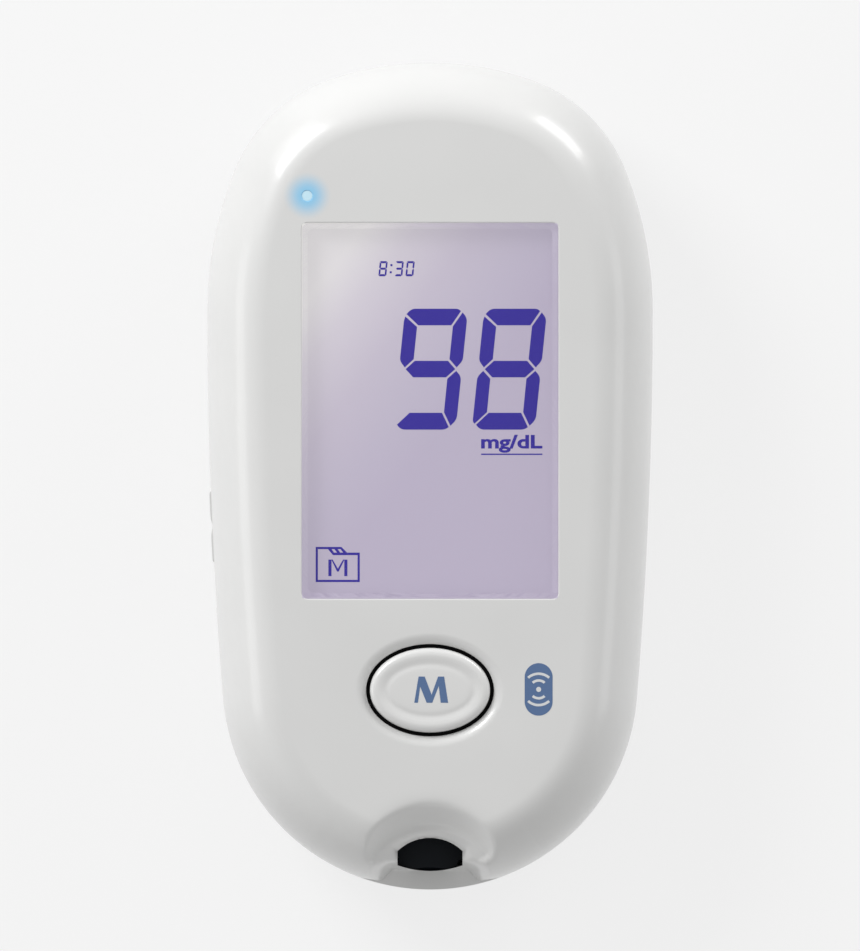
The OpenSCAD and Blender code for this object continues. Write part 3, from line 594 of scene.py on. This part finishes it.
def pearl_paint():
    """ABS moulding under pearl white lacquer: an even pale grey with a soft, wide highlight.
    The face round the status light has a blue glow painted into its colour, for the light that the thin wall
    lets through."""
    material, tree, shader = finish("pearl_white_abs", PEARL, 0.3, Coat_Weight=0.3, Coat_Roughness=0.1)
    where = place(tree)
    tone = mixed(tree, noise(tree, where, 12), colour(PEARL), colour("#DCDCDB"))
    # painted glow of the status light, mixed into the face's colour round it
    offset = node(tree, "ShaderNodeVectorMath", {"operation": "DISTANCE"},
                  {0: where, 1: (LIGHT[0], LIGHT[1], FACE_Z)})
    painted_halo = node(tree, "ShaderNodeMapRange", {"interpolation_type": "SMOOTHSTEP"},
                {"Value": offset.outputs["Value"], "From Min": PAINTED_HALO[0], "From Max": PAINTED_HALO[1],
                 "To Min": 0.85, "To Max": 0.0})
    with_painted_halo = mixed(tree, painted_halo.outputs["Result"], tone, colour("#7CC6EE"))
    tree.links.new(with_painted_halo, shader.inputs["Base Color"])
    bumped(tree, shader, noise(tree, where, 0.4, 3), 0.001)
    return material


def lcd_painted_reflection():
    """Reflective display behind its polariser: pale lilac, with a painted reflection that pales it to near
    white towards the upper left, and a painted glow of its own that also makes up for the shade in its
    recess."""
    material, tree, shader = finish("lilac_lcd_painted_reflection_glow", "#B6AFC1", 0.35, Specular_IOR_Level=0.1)
    where = place(tree)
    along = node(tree, "ShaderNodeVectorMath", {"operation": "DOT_PRODUCT"}, {0: where, 1: PAINTED_REFLECTION_WAY})
    span = node(tree, "ShaderNodeMapRange",
                inputs={"Value": along.outputs["Value"], "From Min": PAINTED_REFLECTION_SPAN[0], "From Max": PAINTED_REFLECTION_SPAN[1]})
    ramp = node(tree, "ShaderNodeValToRGB", inputs={"Fac": span.outputs["Result"]})
    # painted reflection: near white at the upper left, fading to the display's own lilac
    stops = ((0.0, "#E6E5E3"), (0.21, "#D6D2D8"), (0.49, "#C8C2CE"), (0.77, "#C1BBCA"), (1.0, "#BDB6C7"))
    ramp.color_ramp.elements.remove(ramp.color_ramp.elements[1])
    ramp.color_ramp.elements[0].color = colour(stops[0][1])
    for at, tone in stops[1:]:
        ramp.color_ramp.elements.new(at).color = colour(tone)
    dimmed = mixed(tree, LCD_DIM, ramp.outputs["Color"], colour("#000000"))
    tree.links.new(dimmed, shader.inputs["Base Color"])
    # painted glow: the display gives off its own colours as light
    tree.links.new(ramp.outputs["Color"], shader.inputs["Emission Color"])
    shader.inputs["Emission Strength"].default_value = PAINTED_LCD_GLOW
    bumped(tree, shader, noise(tree, where, 0.15, 2), 0.0005)
    return material


def clear_acrylic():
    """Cast acrylic window with an anti-reflection coat: clear, with a faint gloss only."""
    material = bpy.data.materials.new("clear_acrylic")
    material.use_nodes = True
    tree = material.node_tree
    tree.nodes.clear()
    gloss = node(tree, "ShaderNodeFresnel", inputs={"IOR": 1.3})
    through = node(tree, "ShaderNodeBsdfTransparent", inputs={"Color": colour("#FCFBFD")})
    shine = node(tree, "ShaderNodeBsdfGlossy", inputs={"Color": colour("#FFFFFF"), "Roughness": 0.05})
    inside = node(tree, "ShaderNodeNewGeometry").outputs["Backfacing"]
    outside = node(tree, "ShaderNodeMath", {"operation": "SUBTRACT"}, {0: 1.0, 1: inside})
    share = node(tree, "ShaderNodeMath", {"operation": "MULTIPLY"},
                 {0: gloss.outputs["Fac"], 1: outside.outputs[0]})
    both = node(tree, "ShaderNodeMixShader",
                inputs={0: share.outputs[0], 1: through.outputs[0], 2: shine.outputs[0]})
    node(tree, "ShaderNodeOutputMaterial", inputs={"Surface": both.outputs[0]})
    return material


def cell_sleeve():
    """Printed shrink sleeve on a steel can: dark body, a copper band at the raised end, bare steel rims."""
    material, tree, shader = finish("cell_sleeve", "#23272B", 0.3)
    where = place(tree)
    axes = node(tree, "ShaderNodeSeparateXYZ", inputs={0: where}).outputs
    low, high = box("cell_right")[0][1], box("cell_left")[1][1]
    half = node(tree, "ShaderNodeMath", {"operation": "SUBTRACT"}, {0: axes["Y"], 1: (low + high) / 2})
    left = node(tree, "ShaderNodeMath", {"operation": "SIGN"}, {0: axes["X"]})
    turned = node(tree, "ShaderNodeMath", {"operation": "MULTIPLY"}, {0: half.outputs[0], 1: left.outputs[0]})
    band = node(tree, "ShaderNodeMapRange",
                inputs={"Value": turned.outputs[0], "From Min": 7.9, "From Max": 8.1})
    tone = mixed(tree, band.outputs["Result"], colour("#23272B"), colour("#B8793E"))
    tree.links.new(tone, shader.inputs["Base Color"])
    bumped(tree, shader, noise(tree, where, 0.6, 2), 0.004)
    return material


def board_mask():
    """Green solder mask over copper tracks, which show as paler lines 0.4 mm wide."""
    material, tree, shader = finish("green_solder_mask", "#14502F", 0.35)
    where = place(tree)
    tracks = node(tree, "ShaderNodeTexBrick", inputs={
        "Vector": where, "Scale": 1.0, "Mortar Size": 0.2, "Brick Width": 3.2, "Row Height": 1.6,
        "Color1": colour("#14502F"), "Color2": colour("#175634"), "Mortar": colour("#2F7A4C")})
    tree.links.new(tracks.outputs["Color"], shader.inputs["Base Color"])
    bumped(tree, shader, tracks.outputs["Fac"], 0.03)
    return material


def elastomer_stripes():
    """Silicone strip with carbon layers: pink and black stripes 0.1 mm apart, drawn at 0.4 mm to show."""
    material, tree, shader = finish("striped_elastomer", "#C98B98", 0.6)
    where = place(tree)
    wave = node(tree, "ShaderNodeTexWave", {"bands_direction": "X"}, {"Vector": where, "Scale": 0.8})
    tone = mixed(tree, wave.outputs["Fac"], colour("#C98B98"), colour("#2A2628"))
    tree.links.new(tone, shader.inputs["Base Color"])
    return material


PEARL = "#D6D6D5"
PAINTED_LCD_GLOW = 0.67  # painted glow that the display gives off, which also makes up for the shade in its recess
LCD_DIM = 0.6  # how far its reflecting colour is taken down for that

case_white = pearl_paint()
# Back shell and cover: the same ABS, spark-eroded, so it looks duller with a fine even grain
back_white = mottled("spark_eroded_white_abs", "#D2D2D1", "#D8D8D7", 15, 0.35, 0.006, 0.5)
# Button cap: the same lacquer, a touch smoother from handling
cap_white = mottled("lacquered_white_abs", "#D8D8D7", "#DDDDDC", 8, 0.4, 0.001, 0.28, Coat_Weight=0.3)
# Thumb piece: bare moulded ABS with a fine grain
thumb_white = mottled("moulded_grey_abs", "#BDBDBC", "#C4C4C3", 6, 0.25, 0.006, 0.45)
# Pad printing ink: dull slate blue with a slightly uneven coat
print_blue = mottled("pad_print_blue", "#4D6891", "#526C94", 1.2, 0.12, 0.002, 0.5)
print_pale = mottled("pad_print_pale", "#D2D4D6", "#D8DADB", 1.2, 0.12, 0.002, 0.5)
# Display segments: deep violet liquid crystal, slightly uneven, with a faint painted glow
segment_ink = mottled("violet_lcd_segment", "#2C2480", "#2F2684", 3, 0.2, 0.0005, 0.5,
                      Specular_IOR_Level=0.05, Emission_Strength=0.4)
segment_ink.node_tree.nodes["Principled BSDF"].inputs["Emission Color"].default_value = colour("#3A3096")
display_lilac = lcd_painted_reflection()
acrylic = clear_acrylic()
# Black for the cap's flange and stem: painted shade, so the deep gap round the cap reads dark
gap_shade_black = mottled("black_painted_gap_shade", "#0B0B0C", "#101011", 2, 0.3, 0.01, 0.7, Specular_IOR_Level=0.15)
# Bezel in the port: dark navy ABS
bezel_navy = mottled("navy_abs", "#0A0E13", "#0D1319", 4, 0.3, 0.004, 0.4, Specular_IOR_Level=0.1)
# Nickel plate on spring wire, contacts and screws: bright, with faint draw marks
nickel = mottled("nickel_plate", "#C9C6C0", "#B4B1AB", 1.5, 0.2, 0.004, 0.25, Metallic=1.0)
# Zinc plate with a blue passivation: a colder, duller metal
screw_zinc = mottled("blue_zinc_plate", "#A9ABB0", "#9A9CA2", 1.0, 0.15, 0.006, 0.35, Metallic=1.0)
# Gold flash on the strip's contacts
gold = mottled("gold_flash", "#D9B45A", "#C9A24A", 0.8, 0.1, 0.003, 0.25, Metallic=1.0)
# Hidden mouldings: dull, with a faint grain from the mould
grey_key = mottled("grey_abs", "#8F9192", "#989A9B", 3, 0.2, 0.005, 0.45)
switch_black = mottled("black_nylon", "#1C1C1D", "#242425", 2, 0.2, 0.008, 0.55)
plunger_black = mottled("black_pom", "#121213", "#19191A", 2, 0.2, 0.004, 0.35)
holder_white = mottled("white_polycarbonate", "#E4E4E2", "#EBEBE9", 6, 0.3, 0.004, 0.4)
# Light guide: diffusing acrylic with a faint painted glow
guide_white = mottled("diffusing_acrylic", "#EFEFEE", "#F6F6F5", 6, 0.2, 0.002, 0.3, Emission_Strength=0.15)
ivory_lcp = mottled("ivory_lcp", "#DED6BF", "#E5DECA", 3, 0.2, 0.006, 0.5)
pusher_grey = mottled("grey_pom", "#85878A", "#8C8E91", 3, 0.2, 0.004, 0.35)
# Board parts: small matt ceramic blocks, moulded epoxy and a bright tinned can
ceramic = mottled("brown_ceramic", "#8A6848", "#977452", 0.8, 0.1, 0.004, 0.45)
epoxy = mottled("black_epoxy", "#18191B", "#202124", 1.5, 0.12, 0.008, 0.6)
can_steel = mottled("tinned_steel", "#C2C4C6", "#AEB0B3", 2, 0.15, 0.005, 0.35, Metallic=1.0)
# Buzzer case: dull black polyester with a fine grain
buzzer_black = mottled("black_pbt", "#151516", "#1D1D1F", 2, 0.2, 0.008, 0.5)
# Status light: glowing end of a clear pipe, almost white with a blue cast
lit_blue = mottled("lit_light_pipe", "#A9C4D0", "#B2CCD6", 0.5, 0.1, 0.001, 0.3, Emission_Strength=0.28)
lit_blue.node_tree.nodes["Principled BSDF"].inputs["Emission Color"].default_value = colour("#BFE6F7")


# ---------------------------------------------------------------- pieces

def dress(obj, *materials):
    obj.data.materials.clear()
    for material in materials:
        obj.data.materials.append(material)


def piece(obj, material, body="root", stands_for=()):
    """Dresses a finished piece and hangs it on its body."""
    if material:
        dress(obj, material)
    if stands_for:
        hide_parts(*stands_for)
    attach(obj, body)
    return obj


def tint_recess(shell):
    """The walls of the lens pocket take the display's tint, as its printed frame does, and with it the
    display's painted reflection and painted glow.
    """
    for face in shell.data.polygons:
        x, y, z = (c / MM for c in face.center)
        inside = abs(x) < LENS_W / 2 + 0.05 and abs(y - LENS_Y) < LENS_L / 2 + 0.05
        face.material_index = int(inside and z > LCD_TOP)


case_front = front_shell()
dress(case_front, case_white, display_lilac)
tint_recess(case_front)
piece(case_front, None, stands_for=["front_shell"])


SKIN_T = 0.35


def thin_skin(name, start):
    """The back's smooth outer surface as a closed skin, which goes over the CAD solid."""
    b = Build()
    outer, inner = [b.loft([at_height(outline(inset), z)
                            for inset, z in roll(BACK_ROLL, SEAM[0], at, at, 32)])
                    for at in (start, start + SKIN_T)]
    b.bridge(outer[0], inner[0])
    b.flat(outer[-1])
    b.flat(inner[-1])
    return tidy_mesh(b.object(name))


def edge_x(y):
    """Half width of the case at a height above its middle."""
    points = outline(0)
    right = points[:len(points) // 2 + 1]
    for (x0, y0), (x1, y1) in zip(right, right[1:]):
        if y0 <= y <= y1:
            return x0 + (x1 - x0) * (y - y0) / (y1 - y0)


screws_low, screws_high = box("case_screws")
screw_rows = (screws_low[1] + SCREW_HEAD[0], screws_high[1] - SCREW_HEAD[0])
SCREW_AT = [(side * (edge_x(y) - SCREW_IN), y) for y in screw_rows for side in (-1, 1)]


def rear_shell():
    """Smooth back over the CAD solid's bay, rails and towers."""
    skin = thin_skin("case_rear", 0)
    half = DOOR_HALF + DOOR_GAP
    boolean(skin, block("door", (-half, half), (DOOR_END - DOOR_GAP, HALF_L + 1), (-1, SEAM[0] + 1)))
    for at in SCREW_AT:
        boolean(skin, prism("recess", ellipse(at, RECESS_R, RECESS_R, 48), -1, 2))
    buzzer = middle("buzzer")
    for i in (-1, 0, 1):
        hole = (buzzer[0] + 4 * SOUND_R * i, buzzer[1])
        boolean(skin, prism("sound", ellipse(hole, SOUND_R, SOUND_R, 24), -1, 2))
    boolean(skin, block("slot", (-HALF_W - 1, PLATE_X - 0.3), *THUMB_SLOT))
    return tidy_mesh(boolean(skin, cad_copy("rear_shell"), "UNION"))


def battery_cover():
    """Smooth cover with its thumb ridges, over the CAD solid's hooks."""
    skin = thin_skin("battery_cover", DOOR_RECESS)
    boolean(skin, block("edge", (-DOOR_HALF, DOOR_HALF), (DOOR_END, HALF_L + 1), (-1, SEAM[0])), "INTERSECT")
    boolean(skin, ridge_cutter("ridges", (0, RIDGE_Y + RIDGES["Width"] / 2, 0), RIDGES))
    return tidy_mesh(boolean(skin, cad_copy("battery_door"), "UNION"))


piece(rear_shell(), back_white, stands_for=["rear_shell"])
piece(battery_cover(), back_white, "cover", ["battery_door"])


def case_screws():
    """Pan heads with a cross recess, head down, one in each corner tower."""
    head_r, low, high = SCREW_HEAD
    profile = [(0.15, low), (0.9, low + 0.06), (1.5, low + 0.28), (1.8, low + 0.62), (head_r, low + 1.0),
               (head_r, high), (SCREW_R, high), (SCREW_R, screws_high[2] - 0.8), (0.25, screws_high[2])]
    b = Build()
    rings = b.loft([at_height(ellipse((0, 0), r, r, 40), z) for r, z in profile])
    b.flat(rings[0])
    b.flat(rings[-1])
    shape = tidy_mesh(b.object("screw"))
    arm = (-0.24, 0.24)
    reach = (-1.05, 1.05)
    for x, y in ((arm, reach), (reach, arm)):
        boolean(shape, block("drive", x, y, (low - 1, low + 0.8)))
    dress(shape, screw_zinc)
    return copies("case_screws", [(x, y, 0) for x, y in SCREW_AT], shape)


piece(case_screws(), None, stands_for=["case_screws"])


def thumb_piece():
    """Two rounded bumps with a finger valley between, over the CAD solid's plate and arm."""
    b = Build()
    x_in = PLATE_X + 0.1
    (y0, y1), (z0, z1) = THUMB_Y, THUMB_Z
    valley_x, valley_y, valley_r = VALLEY
    rings = []
    count = 72
    for i in range(count + 1):
        y = y0 + (y1 - y0) * (1 - cos(pi * i / count)) / 2
        end = min(y - y0, y1 - y)
        round_end = 0.45 - sqrt(max(0.45 ** 2 - max(0.45 - end, 0) ** 2, 0))
        x = -edge_x(y) - THUMB_PROUD + round_end
        if abs(y - valley_y) < valley_r:
            x = soft_max(x, valley_x + sqrt(valley_r ** 2 - (y - valley_y) ** 2), 0.15)
        corner = 0.55
        arc = [(pi / 2 * k / 6) for k in range(7)]
        side = [(x + corner - corner * sin(a), y, z0 + corner - corner * cos(a)) for a in arc]
        side += [(x + corner - corner * cos(a), y, z1 - corner + corner * sin(a)) for a in arc]
        rings.append([(x_in, y, z0)] + side + [(x_in, y, z1)])
    ids = b.loft(rings)
    b.flat(ids[0])
    b.flat(ids[-1])
    rest = cad_copy("ejector_slider")
    boolean(rest, block("old", (-HALF_W - 1, PLATE_X - 0.05), (-20, 5), (5, 14)))
    return tidy_mesh(boolean(tidy_mesh(b.object("thumb_piece")), rest, "UNION"))


piece(thumb_piece(), thumb_white, "ejector", ["ejector_slider"])


def button_cap():
    """Oval cap: rounded ring, shallow trough and raised middle, over the flange and stem that hold it."""
    a, b_half = CAP_HALF
    # inset and height below the crown, joined by a smooth curve
    curve = [(0, -0.75), (0.12, -0.35), (0.4, -0.1), (0.8, 0), (1.2, -0.04), (1.5, -0.11), (1.78, -0.17),
             (2.0, -0.18), (2.2, -0.15), (2.45, -0.11), (2.8, -CAP_DISH - 0.01), (3.4, -CAP_DISH)]
    rings = [(-FLANGE_OUT, FLANGE_Z[0]), (-FLANGE_OUT, FLANGE_Z[1]), (0, FLANGE_Z[1]), (0, CAP_TOP - 1.4)]

    def between(q, t):
        bend = (2 * q[0] - 5 * q[1] + 4 * q[2] - q[3]) * t * t + (3 * q[1] - q[0] - 3 * q[2] + q[3]) * t ** 3
        return 0.5 * (2 * q[1] + (q[2] - q[0]) * t + bend)

    for i in range(len(curve) - 1):
        near = [curve[max(i - 1, 0)], curve[i], curve[i + 1], curve[min(i + 2, len(curve) - 1)]]
        inset, height = zip(*near)
        rings += [(between(inset, k / 5), CAP_TOP + between(height, k / 5)) for k in range(5)]
    rings.append((curve[-1][0], CAP_TOP + curve[-1][1]))
    b = Build()
    ids = b.loft([at_height(ellipse(BUTTON, a - inset, b_half - inset, 144), z) for inset, z in rings])
    stem = b.loft([at_height(ellipse(BUTTON, STEM_R, STEM_R, 48), z) for z in (FLANGE_Z[0], CAP_LOW)])
    b.flat(ids[0], [stem[0]])
    b.flat(stem[1])
    b.flat(ids[-1])
    cap = tidy_mesh(b.object("button_cap"))
    dress(cap, cap_white, gap_shade_black)
    # the flange and stem take the black of the painted gap shade
    for face in cap.data.polygons:
        face.material_index = int(face.center[2] / MM < CAP_TOP - 1.2)
    return cap


piece(button_cap(), None, "button", ["button_cap"])


def window():
    """Clear sheet with its edges broken by 0.08 mm."""
    b = Build()
    low, high = LENS_Z
    levels = [(0.08, low), (0, low + 0.08), (0, high - 0.08), (0.03, high - 0.02), (0.08, high)]
    rings = b.loft([at_height(round_rect((0, LENS_Y), LENS_W - 2 * d, LENS_L - 2 * d, LENS_CORNER - d), z)
                    for d, z in levels])
    b.flat(rings[0])
    b.flat(rings[-1])
    return tidy_mesh(b.object("window"), 10)


piece(window(), acrylic, stands_for=["display_lens"])


# ---------------------------------------------------------------- display signs

def rounded(points):
    """A polygon whose corners (x, y, radius) are rounded where a radius is given."""
    result = []
    n = len(points)
    for i, point in enumerate(points):
        at = Vector(point[:2])
        r = point[2] if len(point) > 2 else 0
        if not r:
            result.append(tuple(at))
            continue
        before = (Vector(points[i - 1][:2]) - at).normalized()
        after = (Vector(points[(i + 1) % n][:2]) - at).normalized()
        half = acos(max(-1, min(1, before.dot(after)))) / 2
        centre = at + (before + after).normalized() * r / sin(half)
        first = at + before * r / tan(half) - centre
        last = at + after * r / tan(half) - centre
        turn = atan2(first.x * last.y - first.y * last.x, first.dot(last))
        for k in range(9):
            angle = turn * k / 8
            result.append((centre.x + first.x * cos(angle) - first.y * sin(angle),
                           centre.y + first.x * sin(angle) + first.y * cos(angle)))
    return result


# Segments of a digit 14.3 mm high, about its middle
SEGMENTS = {
    "top": [(-3.50, 6.51), (-2.95, 7.14, 1.0), (2.55, 7.14, 0.9), (2.90, 6.86),
            (1.93, 5.18), (-1.97, 5.18)],
    "upper_left": [(-3.60, 6.22), (-3.72, 5.7, 1), (-3.72, 1.0, 1.2), (-3.06, 0.20),
                   (-2.10, 1.18), (-2.10, 4.99)],
    "upper_right": [(3.12, 6.70), (3.72, 6.0, 1.2), (3.72, 1.0, 1.2), (3.07, 0.20),
                    (2.13, 1.18), (2.13, 5.05)],
    "middle": [(-2.93, 0), (-1.94, 0.98), (1.97, 0.98), (2.93, 0), (1.93, -0.97), (-1.94, -0.97)],
    "lower_left": [(-3.09, -0.21), (-3.72, -0.9, 1.2), (-3.72, -6.2, 0.6), (-3.48, -6.45),
                   (-2.14, -5.09), (-2.16, -1.14)],
    "lower_right": [(3.07, -0.21), (3.72, -0.9, 1.2), (3.72, -6.0, 1.4), (3.05, -6.69),
                    (2.13, -5.09), (2.11, -1.14)],
    "bottom": [(-3.28, -6.56), (-2.8, -7.15, 1.2), (2.6, -7.15, 1.2), (2.87, -6.85),
               (1.90, -5.16), (-1.93, -5.16)],
}
DIGITS = {
    "0": ("top", "upper_left", "upper_right", "lower_left", "lower_right", "bottom"),
    "3": ("top", "upper_right", "middle", "lower_right", "bottom"),
    "8": tuple(SEGMENTS),
    "9": ("top", "upper_left", "upper_right", "middle", "lower_right", "bottom"),
}
SLANT = tan(radians(5.9))
SIGN_Z = (LCD_TOP, LCD_TOP + 0.03)
UNIT_X = (6.04, 13.28)


def digit(b, figure, x, y, size=1.0):
    """Adds a slanted seven-segment figure, centred on x, y."""
    for name in DIGITS[figure]:
        points = [(x + size * (px + SLANT * py), y + size * py) for px, py in rounded(SEGMENTS[name])]
        b.plate(points, *SIGN_Z)


def readings():
    """The reading 98 in large figures and the time in small ones."""
    b = Build()
    for figure, x in (("9", 0.05), ("8", 9.4)):
        digit(b, figure, x, 12.63)
    small = 0.125
    for figure, x in (("8", -5.55), ("3", -3.65), ("0", -2.35)):
        digit(b, figure, x, 24.5, small)
    for dot in (-0.42, 0.42):
        b.plate(round_rect((-4.6 + SLANT * dot, 24.5 + dot), 0.24, 0.24, 0.02, 1), *SIGN_Z)
    return tidy_mesh(b.object("readings"))


def folder():
    """Memory sign: a folder with a tab, and the letter on its front."""
    b = Build()
    left, right, low, high, tab = -13.51, -8.30, -12.53, -8.38, -9.05
    w = 0.26
    outer = [(left, low), (right, low), (right, tab), (-9.81, tab), (-10.48, high), (left, high)]
    inner = [(left + w, low + w), (right - w, low + w), (right - w, tab - w - 0.04), (-11.47, tab - w - 0.04),
             (-12.05, high - w), (left + w, high - w)]
    windows = [[(-11.64 + d, high - w), (-11.30 + d, high - w), (-10.98 + d, tab), (-11.35 + d, tab)]
               for d in (0, 0.73)]
    b.plate(outer, *SIGN_Z, holes=[inner, *windows])
    top, foot = -9.88, -11.83
    for x0, x1 in ((-12.01, -11.64), (-10.13, -9.76)):
        b.plate([(x0, foot), (x1, foot), (x1, top), (x0, top)], *SIGN_Z)
    b.plate([(-11.66, top), (-11.50, top), (-10.89, -10.94), (-10.27, top), (-10.11, top), (-10.79, -11.29),
             (-10.99, -11.29)], *SIGN_Z)
    return tidy_mesh(b.object("folder"))


def unit():
    """The unit under the reading, with its rule."""
    text = bpy.data.curves.new("unit", "FONT")
    text.body = "mg/dL"
    text.offset = 0.03
    text.extrude = 0.5
    text.resolution_u = 6
    source = bpy.data.objects.new("unit.source", text)
    bpy.context.scene.collection.objects.link(source)
    mesh = bpy.data.meshes.new_from_object(source.evaluated_get(bpy.context.evaluated_depsgraph_get()))
    bpy.data.objects.remove(source)
    obj = bpy.data.objects.new("unit", mesh)
    bpy.context.scene.collection.objects.link(obj)
    low = [min(v.co[i] for v in mesh.vertices) for i in range(3)]
    high = [max(v.co[i] for v in mesh.vertices) for i in range(3)]
    goal = (UNIT_X, (2.75, 4.88), SIGN_Z)
    for v in mesh.vertices:
        for i, (start, end) in enumerate(goal):
            v.co[i] = (start + (end - start) * (v.co[i] - low[i]) / (high[i] - low[i])) * MM
    return tidy_mesh(obj)


def unit_rule():
    left, right = UNIT_X
    return prism("unit_rule", [(left, 2.49), (right, 2.49), (right, 2.65), (left, 2.65)], *SIGN_Z)


for sign in (readings(), folder(), unit(), unit_rule()):
    piece(sign, segment_ink)


# ---------------------------------------------------------------- printed signs

def letter_m():
    """The letter on the button, with splayed legs."""
    edge = [(-1.857, -1.475), (-1.428, -1.475), (-1.159, 0.43), (-0.397, -1.475), (0.27, -1.475),
            (1.031, 0.509), (1.269, -1.475), (2.142, -1.475), (1.666, 1.62), (0.952, 1.62), (0.19, -0.523),
            (-0.635, 1.62), (-1.349, 1.62)]
    top = CAP_TOP - CAP_DISH
    return prism("letter_m", [(BUTTON[0] + x, BUTTON[1] + y) for x, y in edge], top, top + 0.02)


piece(letter_m(), print_blue, "button")


def capsule():
    return prism("badge", round_rect(BADGE, *BADGE_SIZE, BADGE_SIZE[0] / 2, 24), FACE_Z, FACE_Z + 0.015)


def badge_waves():
    """A dot with two arcs above and two below, for radio."""
    b = Build()
    heights = (FACE_Z + 0.015, FACE_Z + 0.03)
    b.plate(ellipse(BADGE, 0.3, 0.3, 32), *heights)
    reach = radians(42)
    for side in (1, -1):
        for r in (1.05, 1.85):
            edge = [[(BADGE[0] + q * sin(a), BADGE[1] + side * q * cos(a))
                     for a in [reach * (k / 12 - 1) for k in range(25)]] for q in (r - 0.15, r + 0.15)]
            b.plate(edge[0] + edge[1][::-1], *heights)
    return tidy_mesh(b.object("badge_waves"))


piece(capsule(), print_blue)
piece(badge_waves(), print_pale)

# CAD nodes that keep their shape
NODE_FINISH = {
    display_lilac: ("lens_tape", "lcd_panel"),
    guide_white: ("light_guide",),
    holder_white: ("lcd_holder",),
    elastomer_stripes(): ("zebra_strip",),
    board_mask(): ("main_board",),
    ceramic: ("board_parts",),
    switch_black: ("key_switch", "set_switch"),
    plunger_black: ("key_plunger", "set_plunger"),
    grey_key: ("set_button",),
    lit_blue: ("status_led", "light_pipe"),
    ivory_lcp: ("strip_connector",),
    gold: ("strip_contacts",),
    bezel_navy: ("port_bezel",),
    pusher_grey: ("ejector_pusher",),
    nickel: ("ejector_spring", "cell_springs", "bridge_contact", "positive_contact", "negative_contact"),
    cell_sleeve(): ("cell_left", "cell_right"),
    screw_zinc: ("board_screws",),
    buzzer_black: ("buzzer",),
    can_steel: ("radio_module",),
    epoxy: ("microcontroller",),
}
for material, names in NODE_FINISH.items():
    for name in names:
        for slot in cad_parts[name].material_slots:
            slot.material = material


# ---------------------------------------------------------------- camera, light and floor

PHOTO_H = 951
PIXEL = 0.1185 * MM
CAMERA_UP = 3.6
CAMERA_Y = 0.00006

camera = bpy.data.objects.new("camera", bpy.data.cameras.new("camera"))
bpy.context.scene.collection.objects.link(camera)
camera.location = (0, CAMERA_Y, CAMERA_UP + SEAM[1] * MM)
camera.data.sensor_width = 36
camera.data.lens = 36 * CAMERA_UP / (PHOTO_H * PIXEL)
bpy.context.scene.camera = camera

bpy.context.scene.view_settings.view_transform = "Standard"


def softbox(name, azimuth, elevation, power):
    """A soft lamp 0.8 m away, aimed at the meter. Azimuth 0 is the meter's right side, 90 its upper end."""
    lamp = bpy.data.lights.new(name, "AREA")
    lamp.shape = "RECTANGLE"
    lamp.size, lamp.size_y = 0.36, 0.30
    lamp.energy = power
    obj = bpy.data.objects.new(name, lamp)
    a, e = radians(azimuth), radians(elevation)
    away = Vector((cos(e) * cos(a), cos(e) * sin(a), sin(e)))
    obj.location = away * 0.8 + Vector((0, 0, 0.01))
    obj.rotation_euler = away.to_track_quat("Z", "Y").to_euler()
    bpy.context.scene.collection.objects.link(obj)


softbox("upper_left", 135, 32, 3.8)
softbox("upper_left_low", 135, 10, 0.5)
softbox("upper_right", 50, 12, 2.3)
softbox("left", 180, 12, 0.55)
softbox("right", 0, 12, 0.45)
softbox("lower", 265, 12, 0.2)

ROOM = 0.48


def seen_rays(tree):
    """1 for rays from the camera and for those that gloss and glass pass on, else 0."""
    ray = node(tree, "ShaderNodeLightPath").outputs
    shiny = node(tree, "ShaderNodeMath", {"operation": "MAXIMUM"},
                 {0: ray["Is Glossy Ray"], 1: ray["Is Transmission Ray"]})
    return node(tree, "ShaderNodeMath", {"operation": "MAXIMUM"},
                {0: ray["Is Camera Ray"], 1: shiny.outputs[0]}).outputs[0]


world = bpy.data.worlds.new("studio")
bpy.context.scene.world = world
world.use_nodes = True
tree = world.node_tree
tree.nodes.clear()
room = node(tree, "ShaderNodeBackground", inputs={"Color": colour("#FFFFFF"), "Strength": ROOM})
white = node(tree, "ShaderNodeBackground", inputs={"Color": colour("#FFFFFF"), "Strength": 1.0})
pick = node(tree, "ShaderNodeMixShader", inputs={0: seen_rays(tree), 1: room.outputs[0], 2: white.outputs[0]})
node(tree, "ShaderNodeOutputWorld", inputs={"Surface": pick.outputs[0]})


def paper():
    """Matt white paper with faint tone: white to the eye, because part of what the camera sees is plain
    white, and the rest keeps the meter's shadow."""
    material, tree, shader = finish("matt_white_paper", "#DADADA", 0.9, Specular_IOR_Level=0.1)
    where = place(tree)
    tone = mixed(tree, noise(tree, where, 25), colour("#D9D9D9"), colour("#DCDCDC"))
    tree.links.new(tone, shader.inputs["Base Color"])
    plain = node(tree, "ShaderNodeEmission", inputs={"Color": colour("#FFFFFF"), "Strength": 1.0})
    share = node(tree, "ShaderNodeMath", {"operation": "MULTIPLY"}, {0: seen_rays(tree), 1: 0.76})
    both = node(tree, "ShaderNodeMixShader",
                inputs={0: share.outputs[0], 1: shader.outputs[0], 2: plain.outputs[0]})
    tree.links.new(both.outputs[0], tree.nodes["Material Output"].inputs["Surface"])
    return material


FLOOR_HALF = 1500
corners = [(FLOOR_HALF * x, FLOOR_HALF * y, -0.03) for x, y in ((-1, -1), (1, -1), (1, 1), (-1, 1))]
floor = new_object("floor", corners, [(0, 1, 2, 3)])
dress(floor, paper())
